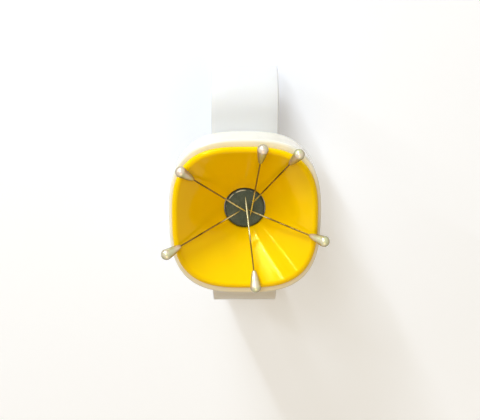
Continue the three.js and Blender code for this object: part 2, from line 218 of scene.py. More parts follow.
def geometry_tree(name: str, inputs: dict[str, str]) -> NodeTree:
    """Makes an empty Geometry Nodes tree that takes a mesh and gives one back.

    Args:
        name: the tree's name.
        inputs: the kind of each further input, by the input's name.

    Returns:
        The tree.
    """
    tree = bpy.data.node_groups.new(name, "GeometryNodeTree")
    for label, kind in {"Geometry": "Geometry", **inputs}.items():
        tree.interface.new_socket(label, in_out="INPUT", socket_type=f"NodeSocket{kind}")
    tree.interface.new_socket("Geometry", in_out="OUTPUT", socket_type="NodeSocketGeometry")
    return tree


def new_material(name: str) -> tuple[Material, NodeTree, Node]:
    """Makes an empty node material.

    Args:
        name: the finish's name.

    Returns:
        The material, its tree and its Principled shader.
    """
    material = bpy.data.materials.new(name)
    material.use_nodes = True
    tree = material.node_tree
    shader = next(node for node in tree.nodes if node.type == "BSDF_PRINCIPLED")
    return material, tree, shader


@dataclass(frozen=True)
class MouldedPlastic:
    """Injection-moulded plastic: an even colour under a clear gloss, with the faint waves of a cooled skin.

    Attributes:
        name: the finish's name.
        colour: sRGB hex of the plastic.
        thin_colour: sRGB hex where the pigment lies a little thinner.
        roughness: how far the gloss spreads a highlight.
        ior: index of refraction.
        mirror: how strongly it mirrors straight on, where 0.5 is a plain plastic of that index.
        mirror_tint: sRGB hex that what it mirrors straight on takes.
        coat: strength of the untinted outer gloss.
        coat_roughness: how far that gloss spreads a highlight.
        behind: sRGB hex of the painted yellow glow, standing in for the dish's light coming through the thin
            plastic, where the piece's glow attribute is 1, or none.
        glow: share of light that enters the plastic and comes out beside.
        glow_reach: how far that light travels.
        glow_tint: how far each colour travels against that reach.
        drift: width of the slow drift between the two colours.
        rub: width of the patches that handling has dulled.
        rubbed: shares of the roughness where the skin is rubbed least and most.
        wave: width of the skin's waves.
        wave_height: height of the waves.
        grain: width of the mould's texture, or 0 for a polished mould.
        grain_height: height of that texture.
    """

    name: str
    colour: str
    thin_colour: str
    roughness: float
    ior: float = 1.5
    mirror: float = 0.5
    mirror_tint: str = "ffffff"
    coat: float = 0.0
    coat_roughness: float = 0.04
    behind: str = ""
    glow: float = 0.1
    glow_reach: float = 1.0
    glow_tint: Point = (1.0, 0.9, 0.7)
    drift: float = 18.0
    rub: float = 5.0
    rubbed: tuple[float, float] = (0.85, 1.35)
    wave: float = 7.0
    wave_height: float = 0.004
    grain: float = 0.0
    grain_height: float = 0.0

    def build(self) -> Material:
        """Builds the finish.

        Returns:
            The node material.
        """
        material, tree, shader = new_material(self.name)
        place = add_node(tree, "ShaderNodeTexCoord").outputs["Object"]
        cloud = add_node(
            tree, "ShaderNodeTexNoise",
            {"Vector": place, "Scale": 1 / (self.drift * MM), "Detail": 3.0, "Roughness": 0.55},
        )
        colour = add_node(
            tree, "ShaderNodeMix",
            {"Factor": cloud.outputs["Fac"], 6: linear(self.colour), 7: linear(self.thin_colour)},
            data_type="RGBA",
        )
        # Painted light: where the piece says, a yellow glow is mixed into the colour, for the dish's light
        # coming through
        if self.behind:
            painted_glow = add_node(tree, "ShaderNodeAttribute", attribute_name="painted_glow")
            colour = add_node(
                tree, "ShaderNodeMix",
                {"Factor": painted_glow.outputs["Fac"], 6: colour.outputs[2], 7: linear(self.behind)},
                data_type="RGBA",
            )
        rub = add_node(
            tree, "ShaderNodeTexNoise",
            {"Vector": place, "Scale": 1 / (self.rub * MM), "Detail": 5.0, "Roughness": 0.65},
        )
        marked = add_node(
            tree, "ShaderNodeMapRange",
            {"Value": rub.outputs["Fac"], "From Min": 0.35, "From Max": 0.75,
             "To Min": self.roughness * self.rubbed[0], "To Max": self.roughness * self.rubbed[1]},
        )
        waves = add_node(
            tree, "ShaderNodeTexNoise",
            {"Vector": place, "Scale": 1 / (self.wave * MM), "Detail": 1.0, "Roughness": 0.4},
        )
        bump = add_node(
            tree, "ShaderNodeBump",
            {"Height": waves.outputs["Fac"], "Strength": 1.0, "Distance": self.wave_height * MM},
        )
        if self.grain:
            spark = add_node(
                tree, "ShaderNodeTexNoise",
                {"Vector": place, "Scale": 1 / (self.grain * MM), "Detail": 2.0, "Roughness": 0.6},
            )
            bump = add_node(
                tree, "ShaderNodeBump",
                {"Height": spark.outputs["Fac"], "Strength": 1.0,
                 "Distance": self.grain_height * MM, "Normal": bump.outputs[0]},
            )
        set_inputs(tree, shader, {
            "Base Color": colour.outputs[2], "Roughness": marked.outputs[0], "Normal": bump.outputs[0],
            "IOR": self.ior, "Specular IOR Level": self.mirror, "Specular Tint": linear(self.mirror_tint),
            "Coat Weight": self.coat, "Coat Roughness": self.coat_roughness,
            "Subsurface Weight": self.glow, "Subsurface Radius": self.glow_tint,
            "Subsurface Scale": self.glow_reach * MM,
        })
        return material


@dataclass(frozen=True)
class SinteredFerrite:
    """Ferrite magnet: pressed and sintered black powder, ground flat and lacquered, with grains of grey and a
    painted highlight along its edge.

    Attributes:
        name: the finish's name.
        colour: sRGB hex of the lacquered powder.
        grain_colour: sRGB hex of its grains.
        painted_highlight_colour: sRGB hex of a painted highlight along the edge.
        painted_highlight_radius: radius at which the painted highlight is strongest.
        painted_highlight_width: width of that line.
        painted_highlight_stretch: length of the stretches that the line is broken into.
        lit_side: the way from the axis to the side towards the key lamps, where the painted highlight lies.
        lit_side_from: shares of that radius, towards that side, between which the painted highlight sets in.
        grain: width of the grains.
        grain_depth: how deep they are pitted.
        blotch: width of the patches where grains lie thicker.
        grinding: distance between the grinding marks.
        grinding_depth: how deep those are.
        grinding_turn: which way they run, in degrees.
        roughness: how far the lacquer spreads a highlight.
        ior: the lacquer's index of refraction.
        mirror: how strongly it mirrors straight on.
        mirror_tint: sRGB hex that what it mirrors takes.
    """

    name: str = "sintered_ferrite"
    colour: str = "394644"
    grain_colour: str = "56625d"
    # A painted highlight: a pale broken line round the edge, on the side towards the key lamps
    painted_highlight_colour: str = "eeeddc"
    painted_highlight_radius: float = 7.9
    painted_highlight_width: float = 0.5
    painted_highlight_stretch: float = 7.0
    lit_side: Point = (-0.5, 0.87, 0.0)
    lit_side_from: tuple[float, float] = (0.5, 0.75)
    grain: float = 0.5
    grain_depth: float = 0.012
    blotch: float = 4.0
    grinding: float = 0.35
    grinding_depth: float = 0.004
    grinding_turn: float = 35.0
    roughness: float = 0.36
    ior: float = 1.55
    mirror: float = 0.35
    mirror_tint: str = "dfe8c8"

    def build(self) -> Material:
        """Builds the finish.

        Returns:
            The node material.
        """
        material, tree, shader = new_material(self.name)
        place = add_node(tree, "ShaderNodeTexCoord").outputs["Object"]
        grains = add_node(
            tree, "ShaderNodeTexNoise",
            {"Vector": place, "Scale": 1 / (self.grain * MM), "Detail": 6.0, "Roughness": 0.7},
        )
        blotch = add_node(
            tree, "ShaderNodeTexNoise", {"Vector": place, "Scale": 1 / (self.blotch * MM), "Detail": 2.0},
        )
        mixed = add_node(
            tree, "ShaderNodeMath",
            {0: grains.outputs["Fac"], 1: blotch.outputs["Fac"]}, operation="MULTIPLY",
        )
        share = add_node(
            tree, "ShaderNodeMapRange", {"Value": mixed.outputs[0], "From Min": 0.16, "From Max": 0.42},
        )
        colour = add_node(
            tree, "ShaderNodeMix",
            {"Factor": share.outputs[0], 6: linear(self.colour), 7: linear(self.grain_colour)},
            data_type="RGBA",
        )
        # Painted highlight mixed into the colour along the edge
        marked = add_node(
            tree, "ShaderNodeMix",
            {"Factor": self.painted_highlight_share(tree, place), 6: colour.outputs[2], 7: linear(self.painted_highlight_colour)},
            data_type="RGBA",
        )
        stretch = add_node(
            tree, "ShaderNodeMapping",
            {"Vector": place, "Rotation": (0.0, 0.0, math.radians(self.grinding_turn)),
             "Scale": (1.0, 0.06, 1.0)},
        )
        scratches = add_node(
            tree, "ShaderNodeTexNoise",
            {"Vector": stretch.outputs[0], "Scale": 1 / (self.grinding * MM), "Detail": 3.0},
        )
        bump = add_node(
            tree, "ShaderNodeBump",
            {"Height": scratches.outputs["Fac"], "Strength": 1.0, "Distance": self.grinding_depth * MM},
        )
        pits = add_node(
            tree, "ShaderNodeBump",
            {"Height": grains.outputs["Fac"], "Strength": 1.0, "Distance": self.grain_depth * MM,
             "Normal": bump.outputs[0]},
        )
        set_inputs(tree, shader, {
            "Base Color": marked.outputs[2], "Normal": pits.outputs[0], "Roughness": self.roughness,
            "IOR": self.ior, "Specular IOR Level": self.mirror, "Specular Tint": linear(self.mirror_tint),
        })
        return material

    def painted_highlight_share(self, tree: NodeTree, place: NodeSocket) -> NodeSocket:
        """Adds the share of painted highlight: along a thin ring at the edge, in broken stretches.

        Args:
            tree: the material's tree.
            place: the place on the magnet.

        Returns:
            The share of painted highlight, from 0 to 1.
        """
        flat = add_node(tree, "ShaderNodeVectorMath", {0: place, 1: (1.0, 1.0, 0.0)}, operation="MULTIPLY")
        away = add_node(tree, "ShaderNodeVectorMath", {0: flat.outputs[0]}, operation="LENGTH")
        off = add_node(
            tree, "ShaderNodeMath", {0: away.outputs["Value"], 1: self.painted_highlight_radius * MM}, operation="SUBTRACT",
        )
        size = add_node(tree, "ShaderNodeMath", {0: off.outputs[0]}, operation="ABSOLUTE")
        line = add_node(
            tree, "ShaderNodeMapRange",
            {"Value": size.outputs[0], "From Min": self.painted_highlight_width / 2 * MM,
             "From Max": self.painted_highlight_width / 6 * MM},
        )
        breaks = add_node(
            tree, "ShaderNodeTexNoise",
            {"Vector": place, "Scale": 1 / (self.painted_highlight_stretch * MM), "Detail": 2.0, "Roughness": 0.6},
        )
        stretch = add_node(
            tree, "ShaderNodeMapRange", {"Value": breaks.outputs["Fac"], "From Min": 0.5, "From Max": 0.58},
        )
        # The painted highlight lies only on the side of the edge towards the key lamps
        along = add_node(
            tree, "ShaderNodeVectorMath", {0: place, 1: self.lit_side}, operation="DOT_PRODUCT",
        )
        side = add_node(
            tree, "ShaderNodeMapRange",
            {"Value": along.outputs["Value"], "From Min": self.lit_side_from[0] * self.painted_highlight_radius * MM,
             "From Max": self.lit_side_from[1] * self.painted_highlight_radius * MM},
        )
        there = add_node(
            tree, "ShaderNodeMath", {0: stretch.outputs[0], 1: side.outputs[0]}, operation="MULTIPLY",
        )
        return add_node(
            tree, "ShaderNodeMath", {0: line.outputs[0], 1: there.outputs[0]}, operation="MULTIPLY",
        ).outputs[0]


@dataclass(frozen=True)
class PlatedMetal:
    """Plated steel: a thin bright layer that darkens in patches and keeps the wire's drawing lines, and where
    told is painted lighter near the dish's axis.

    Attributes:
        name: the finish's name.
        colour: sRGB hex of the clean plating.
        dull_colour: sRGB hex where the plating has tarnished.
        roughness: how far it spreads a highlight.
        tarnish: how many times rougher the tarnished patches are.
        patch: width of the tarnished patches.
        painted_light_radius: how far from the dish's axis it is painted lighter, for how the light falls on
            it over the magnet, or 0.
        painted_light_fade: how far outside and inside that distance it goes from dull to bright.
        painted_light_colour: sRGB hex of that painted light.
        line: width of the drawing lines.
        line_height: height of the drawing lines, or 0 for smooth wire.
    """

    name: str
    colour: str
    dull_colour: str
    roughness: float
    tarnish: float = 1.6
    patch: float = 2.5
    painted_light_radius: float = 0.0
    painted_light_fade: tuple[float, float] = (2.5, 1.0)
    painted_light_colour: str = ""
    line: float = 0.3
    line_height: float = 0.004

    def build(self) -> Material:
        """Builds the finish.

        Returns:
            The node material.
        """
        material, tree, shader = new_material(self.name)
        place = add_node(tree, "ShaderNodeTexCoord").outputs["Object"]
        patches = add_node(
            tree, "ShaderNodeTexNoise",
            {"Vector": place, "Scale": 1 / (self.patch * MM), "Detail": 4.0, "Roughness": 0.6},
        )
        share = add_node(
            tree, "ShaderNodeMapRange", {"Value": patches.outputs["Fac"], "From Min": 0.4, "From Max": 0.7},
        )
        colour = add_node(
            tree, "ShaderNodeMix",
            {"Factor": share.outputs[0], 6: linear(self.colour), 7: linear(self.dull_colour)},
            data_type="RGBA",
        )
        # Painted light: lighter near the dish's axis, over the magnet, for how the light falls on the wire
        # there
        if self.painted_light_radius:
            flat = add_node(
                tree, "ShaderNodeVectorMath", {0: place, 1: (1.0, 1.0, 0.0)}, operation="MULTIPLY",
            )
            away = add_node(tree, "ShaderNodeVectorMath", {0: flat.outputs[0]}, operation="LENGTH")
            bright = add_node(
                tree, "ShaderNodeMapRange",
                {"Value": away.outputs["Value"], "From Min": (self.painted_light_radius + self.painted_light_fade[0]) * MM,
                 "From Max": (self.painted_light_radius - self.painted_light_fade[1]) * MM},
            )
            colour = add_node(
                tree, "ShaderNodeMix",
                {"Factor": bright.outputs[0], 6: colour.outputs[2], 7: linear(self.painted_light_colour)},
                data_type="RGBA",
            )
        rough = add_node(
            tree, "ShaderNodeMapRange",
            {"Value": share.outputs[0], "To Min": self.roughness, "To Max": self.roughness * self.tarnish},
        )
        if self.line_height:
            fine = add_node(
                tree, "ShaderNodeTexNoise", {"Vector": place, "Scale": 1 / (self.line * MM), "Detail": 2.0},
            )
            bump = add_node(
                tree, "ShaderNodeBump",
                {"Height": fine.outputs["Fac"], "Strength": 1.0, "Distance": self.line_height * MM},
            )
            tree.links.new(bump.outputs[0], shader.inputs["Normal"])
        set_inputs(tree, shader, {
            "Base Color": colour.outputs[2], "Roughness": rough.outputs[0], "Metallic": 1.0,
        })
        return material


@dataclass(frozen=True)
class PearlLacquer:
    """Pearl lacquer over a moulded drop: a cream body whose sheen turns pink and green, under a clear coat.

    Attributes:
        name: the finish's name.
        body: sRGB hex of the lacquer where it looks greenish cream.
        blush: sRGB hex of the lacquer where it looks pink.
        rim: sRGB hex of the painted shade towards the drop's outline, where it is seen at a slant, in place
            of the dark surroundings it would mirror there.
        swirl: width of the lacquer's swirls.
        blush_swirl: how many times wider the pink patches are.
        flakes: share of the light that the pearl flakes mirror.
        flake_tint: sRGB hex that what they mirror takes.
        roughness: how far they spread a highlight.
        coat: strength of the clear coat.
        coat_roughness: how far it spreads a highlight.
        bloom: strength of the soft light at the outline.
        bloom_tint: sRGB hex of that light.
        bloom_roughness: how far it spreads.
    """

    name: str = "pearl_lacquer"
    body: str = "d3d5ab"
    blush: str = "e6d5c4"
    rim: str = "7c733f"
    swirl: float = 3.0
    blush_swirl: float = 1.3
    flakes: float = 0.45
    flake_tint: str = "a9a47e"
    roughness: float = 0.25
    coat: float = 0.9
    coat_roughness: float = 0.03
    bloom: float = 0.08
    bloom_tint: str = "f6d9cf"
    bloom_roughness: float = 0.3

    def build(self) -> Material:
        """Builds the finish.

        Returns:
            The node material.
        """
        material, tree, shader = new_material(self.name)
        place = add_node(tree, "ShaderNodeTexCoord").outputs["Object"]
        flow = add_node(
            tree, "ShaderNodeTexNoise",
            {"Vector": place, "Scale": 1 / (self.swirl * MM), "Detail": 3.0, "Distortion": 1.2},
        )
        veil = add_node(
            tree, "ShaderNodeTexNoise",
            {"Vector": place, "Scale": 1 / (self.swirl * self.blush_swirl * MM), "Detail": 1.0,
             "Distortion": 0.6},
        )
        turn = add_node(
            tree, "ShaderNodeMapRange", {"Value": veil.outputs["Fac"], "From Min": 0.42, "From Max": 0.58},
        )
        body = add_node(
            tree, "ShaderNodeMix",
            {"Factor": turn.outputs[0], 6: linear(self.body), 7: linear(self.blush)}, data_type="RGBA",
        )
        # Painted shade: darker towards the outline, the more slanted the view, broken up by the swirls
        edge = add_node(tree, "ShaderNodeLayerWeight", {"Blend": 0.35})
        share = add_node(
            tree, "ShaderNodeMath", {0: edge.outputs["Facing"], 1: flow.outputs["Fac"]}, operation="MULTIPLY",
        )
        spread = add_node(
            tree, "ShaderNodeMapRange", {"Value": share.outputs[0], "From Min": 0.02, "From Max": 0.4},
        )
        colour = add_node(
            tree, "ShaderNodeMix",
            {"Factor": spread.outputs[0], 6: body.outputs[2], 7: linear(self.rim)},
            data_type="RGBA",
        )
        set_inputs(tree, shader, {
            "Base Color": colour.outputs[2], "Roughness": self.roughness, "Metallic": self.flakes,
            "Specular Tint": linear(self.flake_tint), "Coat Weight": self.coat,
            "Coat Roughness": self.coat_roughness, "Sheen Weight": self.bloom,
            "Sheen Roughness": self.bloom_roughness, "Sheen Tint": linear(self.bloom_tint),
        })
        return material


Finish = MouldedPlastic | SinteredFerrite | PlatedMetal | PearlLacquer

YELLOW_PLASTIC = MouldedPlastic(
    # Polystyrene from a polished mould: deep even yellow, sharp highlights
    name="polished_yellow_polystyrene", colour="ffd800", thin_colour="ffcf00", roughness=0.12, ior=1.55,
    mirror=0.36, mirror_tint="ffcc20", coat=0.07, glow=0.1, glow_reach=1.6, glow_tint=(1.0, 0.55, 0.02),
    wave=9.0, wave_height=0.006,
)
WHITE_PLASTIC = MouldedPlastic(
    # ABS: cream white, a gloss a little softer than the dish's, with a painted yellow glow where the rim is
    # thin, for the dish's light coming through
    name="glossy_cream_abs", colour="f3f0e7", thin_colour="f0ecdf", roughness=0.2, ior=1.53, behind="f4ebca",
    glow=0.15, glow_reach=1.5, wave=8.0, wave_height=0.006,
)
BAND_PLASTIC = MouldedPlastic(
    # Soft PVC: bright white, flexible, with the gentle unevenness of a moulded strip
    name="glossy_white_pvc", colour="e4e6eb", thin_colour="e1e2e4", roughness=0.4, ior=1.52,
    glow=0.2, glow_reach=2.0, wave=12.0, wave_height=0.015,
)
BASE_PLASTIC = MouldedPlastic(
    # The same ABS as the housing, left with the fine texture of its mould on the side that meets the wrist
    name="satin_cream_abs", colour="f0ecdf", thin_colour="ebe5d4", roughness=0.36, ior=1.53,
    glow=0.15, glow_reach=1.5, grain=0.4, grain_height=0.012,
)
CLASP_PLASTIC = MouldedPlastic(
    # Polypropylene: satin, with the fine texture of a spark-eroded mould
    name="satin_white_polypropylene", colour="e9e7e1", thin_colour="e4e1da", roughness=0.42, ior=1.49,
    glow=0.15, glow_reach=1.5, grain=0.35, grain_height=0.01,
)
FERRITE = SinteredFerrite()
ZINC = PlatedMetal(name="bright_zinc_plate", colour="c3c6ca", dull_colour="9fa3a8", roughness=0.28)
# Gold-tone wire, painted lighter over the magnet for how the light falls on it there
GILT_STEEL = PlatedMetal(
    name="gold_tone_pin_steel", colour="8f7438", dull_colour="543a15", roughness=0.25, patch=5.0,
    line_height=0.0, painted_light_radius=9.0, painted_light_colour="cfcaa0",
)
PEARL = PearlLacquer()


class Workshop:
    """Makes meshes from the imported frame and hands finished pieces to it.

    Attributes:
        cad_box: its lowest and highest corner, in metres.
        finishes: the materials made so far, by name.
    """

    def __init__(self) -> None:
        """Loads the frame and keeps each finish once."""
        self.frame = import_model()
        self.cad_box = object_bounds()
        self.finishes: dict[str, Material] = {}

    def finish_of(self, finish: Finish) -> Material:
        """Builds a finish on its first use.

        Args:
            finish: the finish.

        Returns:
            Its material.
        """
        if finish.name not in self.finishes:
            self.finishes[finish.name] = finish.build()
        return self.finishes[finish.name]

    @staticmethod
    def span(node: str) -> tuple[Vector, Vector]:
        """Returns a CAD node's lowest and highest corner in millimetres."""
        low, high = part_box(node)
        return low / MM, high / MM

    @staticmethod
    def seat(number: int) -> tuple[float, float]:
        """Returns where a screw stands, X and Y in millimetres."""
        low, high = Workshop.span(f"base_screw_{number}")
        return (low.x + high.x) / 2, (low.y + high.y) / 2

    @staticmethod
    def mesh(
        name: str, points: list[Point], faces: list[tuple[int, ...]],
        attributes: dict[str, list[float]] | None = None,
    ) -> Object:
        """Makes an object from points in millimetres.

        Args:
            name: the object's name.
            points: corner places in millimetres.
            faces: corner numbers of each face.
            attributes: a float for each point, by attribute name.

        Returns:
            The object, in the scene.
        """
        data = bpy.data.meshes.new(name)
        data.from_pydata([tuple(c * MM for c in p) for p in points], [], faces)
        for key, values in (attributes or {}).items():
            data.attributes.new(key, "FLOAT", "POINT").data.foreach_set("value", values)
        data.shade_smooth()
        obj = bpy.data.objects.new(name, data)
        bpy.context.scene.collection.objects.link(obj)
        return obj

    @staticmethod
    def tidy(obj: Object) -> None:
        """Merges an object's doubled points, drops what collapsed and points every face outwards.

        Args:
            obj: the object.
        """
        work = bmesh.new()
        work.from_mesh(obj.data)
        bmesh.ops.remove_doubles(work, verts=work.verts, dist=WELD)
        bmesh.ops.dissolve_degenerate(work, edges=work.edges, dist=WELD / 10)
        bmesh.ops.recalc_face_normals(work, faces=work.faces)
        work.to_mesh(obj.data)
        work.free()

    @staticmethod
    def bake(obj: Object, sharp: float = SHARP) -> Object:
        """Turns an object's modifiers into plain mesh and shades it smooth up to an angle.

        Args:
            obj: the object.
            sharp: the angle from which an edge looks sharp, in degrees.

        Returns:
            The same object.
        """
        graph = bpy.context.evaluated_depsgraph_get()
        data = bpy.data.meshes.new_from_object(obj.evaluated_get(graph), depsgraph=graph)
        obj.modifiers.clear()
        obj.data = data
        Workshop.tidy(obj)
        obj.data.shade_smooth()
        obj.data.set_sharp_from_angle(angle=math.radians(sharp))
        return obj

    @staticmethod
    def run_tree(obj: Object, tree: NodeTree, inputs: dict[str, object], sharp: float = SHARP) -> Object:
        """Runs a Geometry Nodes tree on an object and bakes what comes out.

        Args:
            obj: the object.
            tree: the tree.
            inputs: the value of each further input, by the input's name.
            sharp: the angle from which an edge looks sharp, in degrees.

        Returns:
            The same object.
        """
        modifier = obj.modifiers.new(tree.name, "NODES")
        modifier.node_group = tree
        sockets = {socket.name: socket.identifier for socket in tree.interface.items_tree}
        for label, value in inputs.items():
            modifier[sockets[label]] = value
        return Workshop.bake(obj, sharp)

    @staticmethod
    def combine(obj: Object, tool: Object, fit: Fit) -> None:
        """Joins a second solid to a piece or cuts it out, and removes that solid.

        Args:
            obj: the piece.
            tool: the second solid.
            fit: whether it is joined or cut out.
        """
        modifier = obj.modifiers.new(fit.name.lower(), "BOOLEAN")
        modifier.operation = fit.value
        modifier.solver = "EXACT"
        modifier.object = tool
        Workshop.bake(obj)
        bpy.data.objects.remove(tool)

    @staticmethod
    def soften(obj: Object, width: float) -> Object:
        """Rounds a solid's edges.

        Args:
            obj: the solid.
            width: how far the rounding reaches from each edge.

        Returns:
            The same object.
        """
        bevel = obj.modifiers.new("edges", "BEVEL")
        bevel.width = width * MM
        bevel.segments = 4
        bevel.limit_method = "ANGLE"
        return Workshop.bake(obj)

    @staticmethod
    def shift(obj: Object, x: float, y: float) -> Object:
        """Moves an object's mesh along X and Y, and returns the object."""
        obj.data.transform(Matrix.Translation((x * MM, y * MM, 0)))
        return obj

    def deliver(self, obj: Object, finish: Finish, slot: Slot, body: str, *nodes: str) -> Object:
        """Dresses a finished piece and lets it ride on its body.

        Args:
            obj: the finished mesh.
            finish: its finish.
            slot: the record's slot for that finish; not used.
            body: the CAD body that it moves with.
            nodes: the CAD nodes that it stands for.

        Returns:
            The piece.
        """
        obj.data.materials.clear()
        obj.data.materials.append(self.finish_of(finish))
        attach(obj, body)
        if nodes:
            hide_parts(*nodes)
        LOG.info("%s: %d faces, on %s", obj.name, len(obj.data.polygons), body)
        return obj

    def dress(self, node: str, finish: Finish) -> None:
        """Gives a CAD node, whose shape stays, its finish.

        Args:
            node: the node's name.
            finish: its finish.
        """
        data = self.frame["nodes"][node].data
        data.materials.clear()
        data.materials.append(self.finish_of(finish))
        LOG.info("%s: CAD node dressed", node)


def arc(x: float, z: float, radius: float, start: float, end: float, steps: int) -> Profile:
    """Returns points of an arc in a profile, from one angle to another in degrees."""
    angles = [math.radians(start + (end - start) * i / steps) for i in range(steps + 1)]
    return [(x + radius * math.cos(a), z + radius * math.sin(a)) for a in angles]


def run(a: tuple[float, float], b: tuple[float, float], steps: int) -> Profile:
    """Returns the points strictly between two profile points."""
    return [(a[0] + (b[0] - a[0]) * i / steps, a[1] + (b[1] - a[1]) * i / steps) for i in range(1, steps)]


@dataclass
class RoundedSquare:
    """The outline that the dish, the housing and the base plate share, as one Geometry Nodes tree.

    A ring is first swept round as a circle, then the tree pushes each point out to the outline as far as its
    "square" attribute says, and stretches it along Y by its "stretch" attribute. A third attribute tells the
    finish where to paint a yellow glow.

    Attributes:
        squareness: the exponent of the outline, where 2 is a circle.
        steps: how many steps go round.
        tree: the tree.
    """

    squareness: float = 2.9
    steps: int = 192
    tree: NodeTree = field(init=False)

    def __post_init__(self) -> None:
        """Builds the tree."""
        tree = geometry_tree("rounded_square", {"Squareness": "Float"})
        given = add_node(tree, "NodeGroupInput")
        place = add_node(tree, "GeometryNodeInputPosition")
        axes = add_node(tree, "ShaderNodeSeparateXYZ", {0: place.outputs[0]})
        flat = add_node(tree, "ShaderNodeCombineXYZ", {0: axes.outputs[0], 1: axes.outputs[1]})
        radius = add_node(tree, "ShaderNodeVectorMath", {0: flat.outputs[0]}, operation="LENGTH")
        shares = []
        for axis in (0, 1):
            size = add_node(tree, "ShaderNodeMath", {0: axes.outputs[axis]}, operation="ABSOLUTE")
            turn = add_node(
                tree, "ShaderNodeMath", {0: size.outputs[0], 1: radius.outputs["Value"]}, operation="DIVIDE",
            )
            shares.append(add_node(
                tree, "ShaderNodeMath",
                {0: turn.outputs[0], 1: given.outputs["Squareness"]}, operation="POWER",
            ))
        total = add_node(
            tree, "ShaderNodeMath", {0: shares[0].outputs[0], 1: shares[1].outputs[0]}, operation="ADD",
        )
        safe = add_node(tree, "ShaderNodeMath", {0: total.outputs[0], 1: 0.5}, operation="MAXIMUM")
        root = add_node(tree, "ShaderNodeMath", {0: -1.0, 1: given.outputs["Squareness"]}, operation="DIVIDE")
        reach = add_node(tree, "ShaderNodeMath", {0: safe.outputs[0], 1: root.outputs[0]}, operation="POWER")
        extra = add_node(tree, "ShaderNodeMath", {0: reach.outputs[0], 1: 1.0}, operation="SUBTRACT")
        square = add_node(tree, "GeometryNodeInputNamedAttribute", {"Name": "square"}, data_type="FLOAT")
        stretch = add_node(tree, "GeometryNodeInputNamedAttribute", {"Name": "stretch"}, data_type="FLOAT")
        scale = add_node(
            tree, "ShaderNodeMath",
            {0: square.outputs["Attribute"], 1: extra.outputs[0], 2: 1.0}, operation="MULTIPLY_ADD",
        )
        along = add_node(
            tree, "ShaderNodeMath",
            {0: scale.outputs[0], 1: stretch.outputs["Attribute"]}, operation="MULTIPLY",
        )
        grow = add_node(tree, "ShaderNodeCombineXYZ", {0: scale.outputs[0], 1: along.outputs[0], 2: 1.0})
        moved = add_node(
            tree, "ShaderNodeVectorMath", {0: place.outputs[0], 1: grow.outputs[0]}, operation="MULTIPLY",
        )
        put = add_node(
            tree, "GeometryNodeSetPosition",
            {"Geometry": given.outputs["Geometry"], "Position": moved.outputs[0]},
        )
        add_node(tree, "NodeGroupOutput", {"Geometry": put.outputs[0]})
        self.tree = tree

    def reach(self, angle: float) -> float:
        """Returns how far the full outline reaches at an angle, for a half width of 1."""
        total = abs(math.cos(angle)) ** self.squareness + abs(math.sin(angle)) ** self.squareness
        return total ** (-1 / self.squareness)

    def sweep(self, name: str, profile: list[Ring]) -> Object:
        """Sweeps a closed profile round the dish's axis and squares it.

        Args:
            name: the object's name.
            profile: its rings, outer side first, going upwards.

        Returns:
            The object, its faces pointing out.
        """
        count = len(profile)
        points, square, stretch, painted_glow, faces = [], [], [], [], []
        for i in range(self.steps):
            angle = 2 * math.pi * i / self.steps
            for ring in profile:
                points.append((ring.half * math.cos(angle), ring.half * math.sin(angle), ring.z))
                square.append(ring.square)
                stretch.append(1 + ring.longer / ring.half if ring.half else 1.0)
                painted_glow.append(ring.painted_glow)
            follow = (i + 1) % self.steps
            for j in range(count):
                k = (j + 1) % count
                faces.append((i * count + j, follow * count + j, follow * count + k, i * count + k))
        obj = Workshop.mesh(name, points, faces, {"square": square, "stretch": stretch, "painted_glow": painted_glow})
        return Workshop.run_tree(obj, self.tree, {"Squareness": self.squareness})


